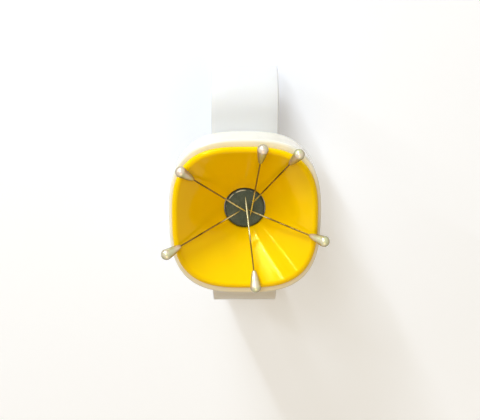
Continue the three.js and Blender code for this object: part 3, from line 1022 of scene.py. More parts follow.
@dataclass
class FunnelDish:
    """The yellow dish: a rolled lip over a straight-sided funnel that ends in a round collar.

    Attributes:
        shop: makes its meshes and hands it over.
        outline: the shared outline.
        bead: radius of the lip's rolled edge.
        lip_drop: how far the lip's underside lies below that radius's centre.
        wall: thickness of the funnel.
        skirt_wall: thickness of the skirt that goes down into the housing.
        skirt_inset: how far the skirt lies inside the lip.
        skirt_below_housing: how far it goes down past the housing's front.
        collar_wall: thickness of the collar round the magnet.
        magnet_gap: play between collar and magnet.
        magnet_proud: how far the magnet stands up past the funnel's bottom.
        post_diameter: outside of a screw post.
        post_edge: width of the bevel at its end.
        bore_diameter: its bore.
        bore_depth: how deep that goes.
        bore_edge: width of the bevel at its mouth.
        bore_cone: height of the cone at its end.
        edge_round: radius of the dish's small edges.
        foot_step: how far out and up the foot's middle step lies, in shares of that radius.
    """

    shop: Workshop
    outline: RoundedSquare
    bead: float = 1.5
    lip_drop: float = 0.5
    wall: float = 1.6
    skirt_wall: float = 1.2
    skirt_inset: float = 1.0
    skirt_below_housing: float = 2.5
    collar_wall: float = 1.8
    magnet_gap: float = 0.35
    magnet_proud: float = 0.2
    post_diameter: float = 5.4
    post_edge: float = 0.3
    bore_diameter: float = 2.8
    bore_depth: float = 8.4
    bore_edge: float = 0.2
    bore_cone: float = 0.6
    edge_round: float = 0.35
    foot_step: tuple[float, float] = (0.25, 0.12)

    def __post_init__(self) -> None:
        """Works out the funnel's line, which touches the lip's bead."""
        high = self.shop.span("funnel_dish")[1]
        self.magnet_low, magnet_high = self.shop.span("magnet")
        self.lip_half = high.x
        self.centre = (high.x - self.bead, high.z - self.bead)
        self.lip_bottom = self.centre[1] - self.lip_drop
        self.opening = magnet_high.x + self.magnet_gap
        self.bottom = magnet_high.z - self.magnet_proud
        across, up = self.centre[0] - self.opening, self.centre[1] - self.bottom
        self.slope = math.atan2(up, across) + math.asin(self.bead / math.hypot(across, up))
        self.drop = self.wall / math.cos(self.slope)

    def height(self, half: float) -> float:
        """Returns the funnel's height over a half width."""
        return self.bottom + (half - self.opening) * math.tan(self.slope)

    def height_at(self, x: float, y: float) -> float:
        """Finds the funnel's height over a point, where it turns from a circle into the square outline.

        Args:
            x: the point's place along X.
            y: its place along Y.

        Returns:
            The height of the funnel's upper side.
        """
        away, reach = math.hypot(x, y), self.outline.reach(math.atan2(y, x))
        end = self.centre[0] - self.bead * math.sin(self.slope)
        low, high = 0.0, 1.0
        for _ in range(30):
            share = (low + high) / 2
            half = self.opening + share * (end - self.opening)
            if half * (1 + share * (reach - 1)) < away:
                low = share
            else:
                high = share
        return self.height(self.opening + low * (end - self.opening))

    def build(self) -> Object:
        """Sweeps the dish, joins its posts and hands it over.

        Returns:
            The finished dish.
        """
        skirt_low = self.shop.span("housing_shell")[1].z - self.skirt_below_housing
        skirt_out = self.lip_half - self.skirt_inset
        skirt_in = skirt_out - self.skirt_wall
        collar, collar_low = self.opening + self.collar_wall, self.magnet_low.z
        edge, lip_bottom = self.edge_round, self.lip_bottom
        under_low = (collar, self.height(collar) - self.drop)
        under_high = (skirt_in, min(self.height(skirt_in) - self.drop, lip_bottom))
        lip = arc(*self.centre, self.bead, 0, math.degrees(self.slope) + 90, 28)
        start = (self.opening + edge * math.cos(self.slope), self.bottom + edge * math.sin(self.slope))
        rings = [Ring(collar, collar_low, 0.0), Ring(*under_low, 0.0)]
        rings += [Ring(*point, i / 10) for i, point in enumerate(run(under_low, under_high, 10), 1)]
        outside = [under_high, (skirt_in, skirt_low + edge)]
        outside += arc(skirt_in + edge, skirt_low + edge, edge, 180, 270, 4)
        outside += arc(skirt_out - edge, skirt_low + edge, edge, 270, 360, 4)
        outside += [(skirt_out, lip_bottom)]
        outside += arc(self.lip_half - edge, lip_bottom + edge, edge, 270, 360, 5)
        rings += [Ring(*point) for point in outside + lip]
        steps = 24
        rings += [Ring(*point, 1 - i / steps) for i, point in enumerate(run(lip[-1], start, steps), 1)]
        # The foot turns down into the collar in two short steps
        foot = [start, (self.opening + edge * self.foot_step[0], self.bottom + edge * self.foot_step[1])]
        foot += [(self.opening, self.bottom - edge), (self.opening, collar_low)]
        rings += [Ring(*point, 0.0) for point in foot]
        dish = self.outline.sweep("yellow_funnel_dish", rings)
        self.add_posts(dish)
        return self.shop.deliver(dish, YELLOW_PLASTIC, Slot.DISH, "head", "funnel_dish")

    def add_posts(self, dish: Object) -> None:
        """Joins the four screw posts to the funnel's underside, each ending inside the sloping wall.

        Args:
            dish: the swept dish.
        """
        bottom, top = self.shop.span("funnel_dish")[0].z, self.lip_bottom
        outer, inner = self.post_diameter / 2, self.bore_diameter / 2
        bore_top = bottom + self.bore_depth
        profile = [
            (0.0, top), (outer, top), (outer, bottom + self.post_edge), (outer - self.post_edge, bottom),
            (inner + self.bore_edge, bottom), (inner, bottom + self.bore_edge), (inner, bore_top),
            (0.0, bore_top + self.bore_cone),
        ]
        for number in range(1, SCREW_COUNT + 1):
            post = Workshop.shift(turned(f"post_{number}", profile, 40), *Workshop.seat(number))
            for corner in post.data.vertices:
                if math.isclose(corner.co.z, top * MM, abs_tol=WELD):
                    corner.co.z = (self.height_at(corner.co.x / MM, corner.co.y / MM) - self.drop / 2) * MM
            Workshop.combine(dish, post, Fit.JOIN)


def turned(name: str, profile: Profile, steps: int) -> Object:
    """Turns a profile of radius and height about the Z axis.

    Args:
        name: the object's name.
        profile: radius and height in millimetres, starting and ending on the axis.
        steps: how many steps go round.

    Returns:
        The closed solid.
    """
    points, faces = [], []
    count = len(profile)
    for i in range(steps):
        angle = 2 * math.pi * i / steps
        points += [(r * math.cos(angle), r * math.sin(angle), z) for r, z in profile]
        follow = (i + 1) % steps
        faces += [
            (i * count + j, follow * count + j, follow * count + j + 1, i * count + j + 1)
            for j in range(count - 1)
        ]
    obj = Workshop.mesh(name, points, faces)
    Workshop.tidy(obj)
    obj.data.shade_smooth()
    obj.data.set_sharp_from_angle(angle=math.radians(SHARP))
    return obj


@dataclass
class Housing:
    """The white tube round the dish, rounded at its back edge, with the ledge that the base plate meets.

    Attributes:
        shop: makes its mesh and hands it over.
        outline: the shared outline.
        wall: thickness of the tube.
        back_round: radius of its back edge.
        back_lip: width of the flat between that edge and the opening behind.
        front_round: radius of its front edge.
        front_rim: how far the front reaches in over the tube's wall.
        rim_thick: thickness of that rim.
        base_thick: thickness of the base plate that the opening takes in.
        ledge_thick: thickness of the ledge.
        ledge_width: how far it reaches in past the opening.
        gap: play between ledge and base plate.
        mouth_round: radius of the small inner edges.
    """

    shop: Workshop
    outline: RoundedSquare
    wall: float = 1.7
    back_round: float = 3.0
    back_lip: float = 0.9
    front_round: float = 1.1
    front_rim: float = 2.0
    rim_thick: float = 1.6
    base_thick: float = 1.8
    ledge_thick: float = 1.5
    ledge_width: float = 1.9
    gap: float = 0.3
    mouth_round: float = 0.25

    def build(self) -> Object:
        """Sweeps the housing and hands it over.

        Returns:
            The finished housing.
        """
        low, high = self.shop.span("housing_shell")
        half, back, front = high.x, self.back_round, self.front_round
        longer = high.y - high.x
        inner, mouth = half - self.wall, half - self.front_rim
        opening = half - back - self.back_lip
        ledge = opening - self.ledge_width
        ledge_low = low.z + self.base_thick + self.gap
        ledge_high = ledge_low + self.ledge_thick
        rim_low = high.z - self.rim_thick
        outside = arc(half - back, low.z + back, back, -90, 0, 20)
        outside += run((half, low.z + back), (half, high.z - front), 8)
        outside += arc(half - front, high.z - front, front, 0, 90, 14)
        small = self.mouth_round
        rim = [*arc(mouth + small, high.z - small, small, 90, 180, 4), (mouth, rim_low)]
        inside = [(inner, rim_low), (inner, ledge_high), (ledge, ledge_high), (ledge, ledge_low)]
        inside += [(opening, ledge_low), *arc(opening + small, low.z + small, small, 180, 270, 4)]
        rings = []
        for x, z in outside:
            # A painted yellow glow stands in for the dish's light coming through the rim, strongest where the
            # rim is thinnest
            painted_glow = max(0.0, 1 - (x - mouth) / self.front_rim) if z > rim_low else 0.0
            rings.append(Ring(x, z, 1.0, longer, painted_glow))
        # The rim's inner edge takes the full painted glow
        rings += [Ring(*point, 1.0, 0.0, 1.0) for point in rim]
        rings += [Ring(*point, 1.0, longer) for point in inside]
        shell = self.outline.sweep("white_housing", rings)
        return self.shop.deliver(shell, WHITE_PLASTIC, Slot.HOUSING, "head", "housing_shell")


@dataclass
class Magnet:
    """The ferrite disc at the funnel's bottom and the steel disc that it holds on to.

    Attributes:
        shop: makes its mesh and hands it over.
        bevel: how far its bevel goes down its side.
        bevel_width: how far it reaches in over its face.
        knee: how far in and down the bevel changes from steep to shallow.
        side_blend: how far in and down the bevel's lower edge is eased.
        face_blend: how far in and down its upper edge is eased.
        flat_inset: how far in its face is quite flat.
        back_edge: width of the bevel behind.
        chip: depth of the deepest chips.
        chip_waves: how often each wave of chips goes round, and the angle that it starts from.
        chip_floor: how high the waves have to add up before they chip.
        chip_reach: how far in and down the chips go, in bevels.
        chip_slant: how much of a chip's depth goes down.
        steps: how many steps go round.
    """

    shop: Workshop
    bevel: float = 0.5
    bevel_width: float = 0.8
    knee: tuple[float, float] = (0.27, 0.24)
    side_blend: tuple[float, float] = (0.05, 0.08)
    face_blend: tuple[float, float] = (0.12, 0.02)
    flat_inset: float = 1.3
    back_edge: float = 0.15
    chip: float = 0.16
    chip_waves: tuple[tuple[int, float], ...] = ((23, 0.0), (41, 1.3), (67, 0.4))
    chip_floor: float = 1.1
    chip_reach: float = 1.4
    chip_slant: float = 0.5
    steps: int = 160

    def build(self) -> Object:
        """Turns the magnet, chips its ground edge a little and dresses the steel disc behind it.

        Returns:
            The finished magnet.
        """
        low, high = self.shop.span("magnet")
        r, top = high.x, high.z
        steep = (r - self.side_blend[0], top - self.bevel)
        shallow = (r - self.knee[0], top - self.knee[1])
        inner = (r - self.bevel_width, top - self.face_blend[1])
        rim = [(0.0, low.z), (r - self.back_edge, low.z), (r, low.z + self.back_edge)]
        rim += [(r, steep[1] - self.side_blend[1]), steep, *run(steep, shallow, 4), shallow]
        rim += [*run(shallow, inner, 3), inner, (inner[0] - self.face_blend[0], top)]
        rim += [(r - self.flat_inset, top), (r * 0.6, top), (r * 0.3, top), (0.0, top)]
        disc = turned("ferrite_magnet", rim, self.steps)
        self.chip_edge(disc, r, top)
        self.shop.dress("backing_plate", ZINC)
        return self.shop.deliver(disc, FERRITE, Slot.FERRITE, "head", "magnet")

    def chip_edge(self, disc: Object, radius: float, top: float) -> None:
        """Breaks the bevel's edge with small chips, deepest where three waves meet.

        Args:
            disc: the turned magnet.
            radius: its radius.
            top: the height of its face.
        """
        limit = self.chip_reach * self.bevel
        for corner in disc.data.vertices:
            x, y, z = corner.co / MM
            if z < top - limit or math.hypot(x, y) < radius - limit:
                continue
            angle = math.atan2(y, x)
            wave = sum(math.sin(times * angle + start) for times, start in self.chip_waves)
            depth = self.chip * max(wave - self.chip_floor, 0.0)
            corner.co.x -= depth * math.cos(angle) * MM
            corner.co.y -= depth * math.sin(angle) * MM
            corner.co.z -= depth * self.chip_slant * MM


@dataclass
class Screws:
    """Four small countersunk screws, repeated at their seats by one Geometry Nodes tree.

    Attributes:
        shop: makes their mesh and hands it over.
        head: diameter of the head.
        head_rim: height of its straight rim.
        head_edge: width of the bevel round its face.
        shank: outside diameter of the thread.
        thread_start: height from the head to the first ridge.
        thread_pitch: height from one ridge to the next.
        thread_depth: height of a ridge.
        flanks: how far up a ridge its slope ends, its crest ends and it is back at the root.
        point: length of the point.
        point_blunt: radius and length of its blunt end.
        turn: how much further each screw is turned, in degrees.
        recess_width: width of the cross recess's bars at the head's face.
        recess_length: their length there.
        recess_depth: their depth.
        recess_floor: share of both at their floor.
        recess_start: how far before the head's face their taper starts.
    """

    shop: Workshop
    head: float = 4.0
    head_rim: float = 0.3
    head_edge: float = 0.08
    shank: float = 2.2
    thread_start: float = 0.3
    thread_pitch: float = 0.9
    thread_depth: float = 0.22
    flanks: tuple[float, float, float] = (0.35, 0.42, 0.7)
    point: float = 1.2
    point_blunt: tuple[float, float] = (0.25, 0.1)
    turn: float = 37.0
    recess_width: float = 0.62
    recess_length: float = 2.3
    recess_depth: float = 0.75
    recess_floor: float = 0.45
    recess_start: float = 0.2

    def build(self) -> Object:
        """Makes one screw and repeats it at the four seats.

        Returns:
            The four screws as one piece.
        """
        low, high = self.shop.span("base_screw_1")
        pattern = self.one_screw(low.z, high.z)
        numbers = range(1, SCREW_COUNT + 1)
        screws = Workshop.mesh("base_screws", [(*Workshop.seat(number), 0.0) for number in numbers], [])
        Workshop.run_tree(screws, self.repeat_tree(), {"Screw": pattern, "Turn": math.radians(self.turn)})
        bpy.data.objects.remove(pattern)
        nodes = [f"base_screw_{number}" for number in numbers]
        return self.shop.deliver(screws, ZINC, Slot.ZINC, "head", *nodes)

    def one_screw(self, bottom: float, top: float) -> Object:
        """Makes one screw on the Z axis, with its thread's ridges and a cross recess.

        Args:
            bottom: the height of its head's face.
            top: the height of its point.

        Returns:
            The screw.
        """
        head, shank = self.head / 2, self.shank / 2
        root = shank - self.thread_depth
        seat = bottom + self.head_rim
        neck = seat + head - root
        profile = [(0.0, bottom), (head - self.head_edge, bottom), (head, bottom + self.head_edge)]
        profile += [(head, seat), (root, neck)]
        z, last = neck + self.thread_start, top - self.point
        while z + self.thread_pitch < last:
            rise, crest, fall = (z + flank for flank in self.flanks)
            profile += [(root, z), (shank, rise), (shank, crest), (root, fall)]
            z += self.thread_pitch
        blunt, length = self.point_blunt
        profile += [(root, last), (blunt, top - length), (0.0, top)]
        screw = turned("screw_pattern", profile, 48)
        for turn in (0, 90):
            bar = self.recess(bottom)
            bar.data.transform(Matrix.Rotation(math.radians(turn), 4, "Z"))
            Workshop.combine(screw, bar, Fit.CUT)
        return screw

    def recess(self, bottom: float) -> Object:
        """Makes one bar of the cross recess, narrower at its floor.

        Args:
            bottom: the height of the head's face.

        Returns:
            The bar.
        """
        points = []
        for z, share in ((bottom - self.recess_start, 1.0), (bottom + self.recess_depth, self.recess_floor)):
            x, y = self.recess_length / 2 * share, self.recess_width / 2 * share
            points += [(-x, -y, z), (x, -y, z), (x, y, z), (-x, y, z)]
        faces = [(0, 1, 2, 3), (7, 6, 5, 4)] + [(i, i + 4, (i + 1) % 4 + 4, (i + 1) % 4) for i in range(4)]
        bar = Workshop.mesh("recess", points, faces)
        Workshop.tidy(bar)
        return bar

    def repeat_tree(self) -> NodeTree:
        """Makes the tree that puts the screw at each point and turns each one further.

        Returns:
            The tree.
        """
        tree = geometry_tree("repeat_screws", {"Screw": "Object", "Turn": "Float"})
        given = add_node(tree, "NodeGroupInput")
        screw = add_node(tree, "GeometryNodeObjectInfo", {"Object": given.outputs["Screw"]})
        number = add_node(tree, "GeometryNodeInputIndex")
        turn = add_node(
            tree, "ShaderNodeMath", {0: number.outputs[0], 1: given.outputs["Turn"]}, operation="MULTIPLY",
        )
        spin = add_node(tree, "ShaderNodeCombineXYZ", {2: turn.outputs[0]})
        copies = add_node(
            tree, "GeometryNodeInstanceOnPoints",
            {"Points": given.outputs["Geometry"], "Instance": screw.outputs["Geometry"],
             "Rotation": spin.outputs[0]},
        )
        real = add_node(tree, "GeometryNodeRealizeInstances", {0: copies.outputs[0]})
        dressed = add_node(
            tree, "GeometryNodeSetMaterial",
            {"Geometry": real.outputs[0], "Material": self.shop.finish_of(ZINC)},
        )
        add_node(tree, "NodeGroupOutput", {"Geometry": dressed.outputs[0]})
        return tree


@dataclass
class BasePlate:
    """The plate that closes the housing's back, with two bridges for the band and four sunk screws.

    Attributes:
        shop: makes its mesh and hands it over.
        outline: the shared outline.
        screws: the screws that it seats.
        thick: thickness of the plate.
        edge: radius of its edges.
        rib_wall: thickness of the ring that centres the steel disc.
        rib_height: how far that stands up.
        rib_root: how far it is sunk into the plate.
        rib_edge: width of its bevels.
        rib_gap: play round the steel disc.
        bridge_offset: how far each bridge is from the plate's middle.
        bridge_length: its length along the band.
        bridge_edge: rounding of its edges.
        bar: thickness of its bar.
        post: width of its posts.
        side_play: play beside the band.
        screw_gap: play round a screw.
        seat_edge: width of the bevel at a screw's seat.
    """

    shop: Workshop
    outline: RoundedSquare
    screws: Screws
    thick: float = 1.8
    edge: float = 0.25
    rib_wall: float = 1.2
    rib_height: float = 1.0
    rib_root: float = 0.5
    rib_edge: float = 0.2
    rib_gap: float = 0.3
    bridge_offset: float = 10.5
    bridge_length: float = 5.0
    bridge_edge: float = 0.45
    bar: float = 1.9
    post: float = 2.5
    side_play: float = 0.4
    screw_gap: float = 0.3
    seat_edge: float = 0.12

    def build(self) -> Object:
        """Sweeps the plate, adds its rib and bridges and sinks its screws' seats.

        Returns:
            The finished base plate.
        """
        low, high = self.shop.span("base_plate")
        bottom = self.shop.span("housing_shell")[0].z
        top = bottom + self.thick
        half, edge = high.x, self.edge
        rim = [(half - 3 * edge, bottom), *arc(half - edge, bottom + edge, edge, 270, 360, 4)]
        rim += [*arc(half - edge, top - edge, edge, 0, 90, 4), (half - 3 * edge, top)]
        rings = [Ring(*point, 1.0, high.y - high.x) for point in rim]
        rings = [Ring(0.0, bottom, 0.0), *rings, Ring(0.0, top, 0.0)]
        plate = self.outline.sweep("base_plate_moulding", rings)
        Workshop.combine(plate, self.rib(top), Fit.JOIN)
        for side in (-1, 1):
            Workshop.combine(plate, self.bridge(side, low.z, bottom + self.thick / 2), Fit.JOIN)
        for number in range(1, SCREW_COUNT + 1):
            Workshop.combine(plate, self.countersink(number, bottom, top), Fit.CUT)
        return self.shop.deliver(plate, BASE_PLASTIC, Slot.HOUSING, "head", "base_plate")

    def rib(self, top: float) -> Object:
        """Makes the ring that centres the steel disc.

        Args:
            top: the height of the plate's upper side.

        Returns:
            The ring.
        """
        inner = self.shop.span("backing_plate")[1].x + self.rib_gap
        outer, edge = inner + self.rib_wall, self.rib_edge
        low, high = top - self.rib_root, top + self.rib_height
        line = [(inner, low), (outer, low), (outer, high - edge)]
        line += [(outer - edge, high), (inner + edge, high), (inner, high - edge)]
        return self.outline.sweep("rib", [Ring(*point, 0.0) for point in line])

    def bridge(self, side: int, low: float, high: float) -> Object:
        """Makes one bridge: a bar below the band and its two posts.

        Args:
            side: -1 or 1, the way along Y.
            low: the bar's underside.
            high: the height inside the plate where the posts end.

        Returns:
            The bridge with rounded edges.
        """
        slot = self.shop.span("band_main")[1].x + self.side_play
        outer = slot + self.post
        bar_top = low + self.bar
        y = side * self.bridge_offset
        outline = [(-outer, low), (outer, low), (outer, high), (slot, high), (slot, bar_top)]
        outline += [(-slot, bar_top), (-slot, high), (-outer, high)]
        ends = [y - self.bridge_length / 2, y + self.bridge_length / 2]
        points = [(px, end, pz) for end in ends for px, pz in outline]
        count = len(outline)
        faces = [tuple(range(count)), tuple(reversed(range(count, 2 * count)))]
        faces += [(i, i + count, (i + 1) % count + count, (i + 1) % count) for i in range(count)]
        bridge = Workshop.mesh("bridge", points, faces)
        Workshop.tidy(bridge)
        return Workshop.soften(bridge, self.bridge_edge)

    def countersink(self, number: int, bottom: float, top: float) -> Object:
        """Makes the cutter of one screw's seat.

        Args:
            number: the screw's number.
            bottom: the height of the plate's underside.
            top: the height of its upper side.

        Returns:
            The cutter, in its place.
        """
        head, shank = (size / 2 + self.screw_gap for size in (self.screws.head, self.screws.shank))
        mouth = head + self.seat_edge
        rim = self.shop.span(f"base_screw_{number}")[0].z + self.screws.head_rim
        below, above = bottom - CUT_PAST, top + CUT_PAST
        profile = [(0.0, below), (mouth, below), (mouth, bottom), (head, bottom + self.seat_edge)]
        profile += [(head, rim), (shank, rim + head - shank), (shank, above), (0.0, above)]
        return Workshop.shift(turned("seat", profile, 48), *Workshop.seat(number))


@dataclass
class WristBand:
    """The looped strip with its adjusting holes, its lapped tongue and the two-peg clasp.

    Attributes:
        shop: makes their meshes and hands them over.
        edge: radius of the strip's edges.
        outer_end: where the outer end lies along Y.
        seam_y: where the tongue meets the band.
        blend_y: where a bend of the tongue would start and end when it is lifted; not used.
        hole_diameter: diameter of an adjusting hole.
        hole_pitch: distance from one to the next.
        hole_count: how many there are.
        hole_from_end: distance from the outer end to the first.
        peg_holes: the numbers of the holes that the clasp closes.
        peg_gap: play round and over a peg.
        peg_edge: width of the bevel at its end.
        peg_foot: how far its foot widens into the plate.
        peg_root: how far it is sunk into the plate.
        clasp_corner: corner radius of the clasp's plate.
        clasp_edge: rounding of its edges.
        dimple: section of the dent over a peg: share of the peg's radius, and height over the plate's face.
        lap_steps: how many steps go along the outer end.
        top_steps: how many go along the top run.
        bend_steps: how many go round a bend.
        tongue_steps: how many go along the tongue.
    """

    shop: Workshop
    edge: float = 0.6
    outer_end: float = 26.0
    seam_y: float = 34.5
    blend_y: tuple[float, float] = (34.0, 28.0)
    hole_diameter: float = 4.0
    hole_pitch: float = 8.0
    hole_count: int = 11
    hole_from_end: float = 6.0
    peg_holes: tuple[int, int] = (1, 2)
    peg_gap: float = 0.3
    peg_edge: float = 0.3
    peg_foot: float = 0.25
    peg_root: float = 0.4
    clasp_corner: float = 3.0
    clasp_edge: float = 0.35
    dimple: tuple[tuple[float, float], ...] = ((0.0, -0.22), (0.6, -0.18), (1.0, 0.02), (0.0, 0.3))
    lap_steps: int = 60
    top_steps: int = 40
    bend_steps: int = 56
    tongue_steps: int = 80

    def __post_init__(self) -> None:
        """Reads the strip's sizes from the frame."""
        self.low, self.high = self.shop.span("band_main")
        self.lap_low, self.lap_high = self.shop.span("band_tongue")
        self.thick = self.lap_high.z - self.lap_low.z

    def path(self) -> list[Point]:
        """Finds the strip's middle line from its outer end round both bends.

        Returns:
            Stations along it: Y, Z and heading.
        """
        half = self.thick / 2
        low_radius = self.high.z / 2
        high_radius = (self.high.z - self.lap_low.z) / 2
        low_centre, high_centre = self.low.y + low_radius, self.high.y - high_radius
        flat, steps = low_centre - self.outer_end, self.lap_steps
        stations = [(self.outer_end + flat * i / steps, half, math.pi) for i in range(steps + 1)]
        stations += self.bend(low_centre, low_radius, low_radius, math.pi)
        flat, steps = high_centre - low_centre, self.top_steps
        stations += [(low_centre + flat * i / steps, self.high.z - half, 0.0) for i in range(1, steps + 1)]
        stations += self.bend(high_centre, self.high.z - high_radius, high_radius, 0.0)
        stations.append((self.seam_y, self.lap_low.z + half, -math.pi))
        return stations

    def bend(self, y: float, z: float, radius: float, start: float) -> list[Point]:
        """Finds the middle line half way round a bend.

        Args:
            y: the place of the bend's centre along Y.
            z: its height.
            radius: the bend's outside radius.
            start: the heading before the bend.

        Returns:
            Its stations after the one where it starts: Y, Z and heading.
        """
        reach = radius - self.thick / 2
        headings = [start - math.pi * i / self.bend_steps for i in range(1, self.bend_steps + 1)]
        return [(y - reach * math.sin(h), z + reach * math.cos(h), h) for h in headings]

    def section(self, half_width: float) -> Profile:
        """Draws the strip's section.

        Args:
            half_width: half the strip's width there.

        Returns:
            X and the height above the middle line, round once.
        """
        half, edge = self.thick / 2, self.edge
        flat = half_width - edge
        points = []
        for side in (1, -1):
            start = 0 if side == 1 else 180
            points += arc(side * flat, side * (half - edge), edge, start, start + 90, 5)
            points += [(side * flat * share, side * half) for share in (0.6, 0.2, -0.2, -0.6)]
            points += arc(-side * flat, side * (half - edge), edge, start + 90, start + 180, 5)
        return points

    def strip(self, name: str, stations: list[Point], start: Corner, end: Corner) -> Object:
        """Makes a strip along a path, its ends cut as told.

        Args:
            name: the object's name.
            stations: Y, Z and heading along the middle line.
            start: how the first end is cut.
            end: how the last end is cut.

        Returns:
            The closed strip.
        """
        lengths = [0.0]
        for a, b in zip(stations, stations[1:]):
            lengths.append(lengths[-1] + math.hypot(b[0] - a[0], b[1] - a[1]))
        total = lengths[-1]
        points, faces = [], []
        full = self.high.x
        for (y, z, heading), along in zip(stations, lengths):
            half = full
            for corner, away in ((start, along), (end, total - along)):
                radius = corner.value
                if radius and away < radius:
                    half = min(half, full - radius + math.sqrt(max(radius**2 - (radius - away) ** 2, 0.0)))
            for x, lift in self.section(half):
                points.append((x, y - lift * math.sin(heading), z + lift * math.cos(heading)))
        count = len(self.section(full))
        for i in range(len(stations) - 1):
            for j in range(count):
                k = (j + 1) % count
                faces.append((i * count + j, i * count + k, (i + 1) * count + k, (i + 1) * count + j))
        last = (len(stations) - 1) * count
        faces += [tuple(reversed(range(count))), tuple(range(last, last + count))]
        obj = Workshop.mesh(name, points, faces)
        Workshop.tidy(obj)
        return obj

    def build(self) -> None:
        """Makes the band, the tongue and the clasp."""
        band = self.strip("white_band", self.path(), Corner.ROUND, Corner.SQUARE)
        self.punch(band, "outer_holes", 0, self.hole_count)
        self.shop.deliver(band, BAND_PLASTIC, Slot.BAND, "band", "band_main")
        self.tongue()
        self.clasp()

    def tongue(self) -> None:
        """Makes the tongue: a flat strip in its own lifted place, up to the seam."""
        height, steps = (self.lap_low.z + self.lap_high.z) / 2, self.tongue_steps
        length = self.seam_y - self.lap_low.y
        flat = [(self.lap_low.y + length * i / steps, height, 0.0) for i in range(steps + 1)]
        tongue = self.strip("white_band_tongue", flat, Corner.ROUND, Corner.SQUARE)
        self.punch(tongue, "tongue_holes", self.peg_holes[0], len(self.peg_holes))
        tongue.data.materials.clear()
        tongue.data.materials.append(self.shop.finish_of(BAND_PLASTIC))
        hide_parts("band_tongue")
        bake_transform(tongue)
        LOG.info("%s: blends from band to tongue", tongue.name)

    def hole_station(self, number: int) -> float:
        """Returns the Y place of a hole on the flat part of the outer end."""
        return self.outer_end - self.hole_from_end - number * self.hole_pitch

    def punch(self, strip: Object, name: str, first: int, count: int) -> None:
        """Cuts adjusting holes through a strip, at their places along the outer end.

        Args:
            strip: the strip to cut.
            name: what the cut is called.
            first: the number of the first hole.
            count: how many holes are cut.
        """
        path = self.path()
        line = bpy.data.curves.new(name, "CURVE")
        line.dimensions = "3D"
        spline = line.splines.new("POLY")
        spline.points.add(len(path) - 1)
        for point, (y, z, _) in zip(spline.points, path):
            point.co = (0.0, y * MM, z * MM, 1.0)
        guide = bpy.data.objects.new(name, line)
        bpy.context.scene.collection.objects.link(guide)
        from_end = (self.hole_from_end + first * self.hole_pitch) * MM
        sizes = {"From End": from_end, "Pitch": self.hole_pitch * MM, "Diameter": self.hole_diameter * MM}
        Workshop.run_tree(strip, self.punch_tree(name), {"Guide": guide, "Count": count, **sizes})
        bpy.data.objects.remove(guide)

    def punch_tree(self, name: str) -> NodeTree:
        """Makes the tree that cuts round holes at an even pitch along a guide.

        Args:
            name: the tree's name.

        Returns:
            The tree, with inputs for the guide and the holes' count, place, pitch and diameter.
        """
        sizes = {"From End": "Float", "Pitch": "Float", "Diameter": "Float"}
        tree = geometry_tree(name, {"Guide": "Object", "Count": "Int", **sizes})
        given = add_node(tree, "NodeGroupInput")
        guide = add_node(tree, "GeometryNodeObjectInfo", {"Object": given.outputs["Guide"]})
        row = add_node(tree, "GeometryNodeMeshLine", {"Count": given.outputs["Count"]}, mode="OFFSET")
        number = add_node(tree, "GeometryNodeInputIndex")
        along = add_node(
            tree, "ShaderNodeMath",
            {0: number.outputs[0], 1: given.outputs["Pitch"], 2: given.outputs["From End"]},
            operation="MULTIPLY_ADD",
        )
        sample = add_node(
            tree, "GeometryNodeSampleCurve",
            {"Curves": guide.outputs["Geometry"], "Length": along.outputs[0]}, mode="LENGTH",
        )
        place = next(s for s in sample.outputs if s.name == "Position")
        heading = next(s for s in sample.outputs if s.name == "Tangent")
        put = add_node(tree, "GeometryNodeSetPosition", {"Geometry": row.outputs[0], "Position": place})
        across = add_node(
            tree, "ShaderNodeVectorMath", {0: heading, 1: (1.0, 0.0, 0.0)}, operation="CROSS_PRODUCT",
        )
        kept = add_node(
            tree, "GeometryNodeStoreNamedAttribute",
            {"Geometry": put.outputs[0], "Name": "across", "Value": across.outputs[0]},
            data_type="FLOAT_VECTOR", domain="POINT",
        )
        radius = add_node(
            tree, "ShaderNodeMath", {0: given.outputs["Diameter"], 1: 0.5}, operation="MULTIPLY",
        )
        punch = add_node(
            tree, "GeometryNodeMeshCylinder",
            {"Vertices": 40, "Radius": radius.outputs[0], "Depth": 5 * self.thick * MM},
        )
        stored = add_node(
            tree, "GeometryNodeInputNamedAttribute", {"Name": "across"}, data_type="FLOAT_VECTOR",
        )
        lean = add_node(
            tree, "FunctionNodeAlignRotationToVector", {"Vector": stored.outputs["Attribute"]}, axis="Z",
        )
        copies = add_node(
            tree, "GeometryNodeInstanceOnPoints",
            {"Points": kept.outputs[0], "Instance": punch.outputs["Mesh"], "Rotation": lean.outputs[0]},
        )
        real = add_node(tree, "GeometryNodeRealizeInstances", {0: copies.outputs[0]})
        cut = add_node(
            tree, "GeometryNodeMeshBoolean",
            {"Mesh 1": given.outputs["Geometry"], "Mesh 2": real.outputs[0]},
            operation="DIFFERENCE", solver="EXACT",
        )
        dressed = add_node(
            tree, "GeometryNodeSetMaterial",
            {"Geometry": cut.outputs[0], "Material": self.shop.finish_of(BAND_PLASTIC)},
        )
        add_node(tree, "NodeGroupOutput", {"Geometry": dressed.outputs[0]})
        return tree

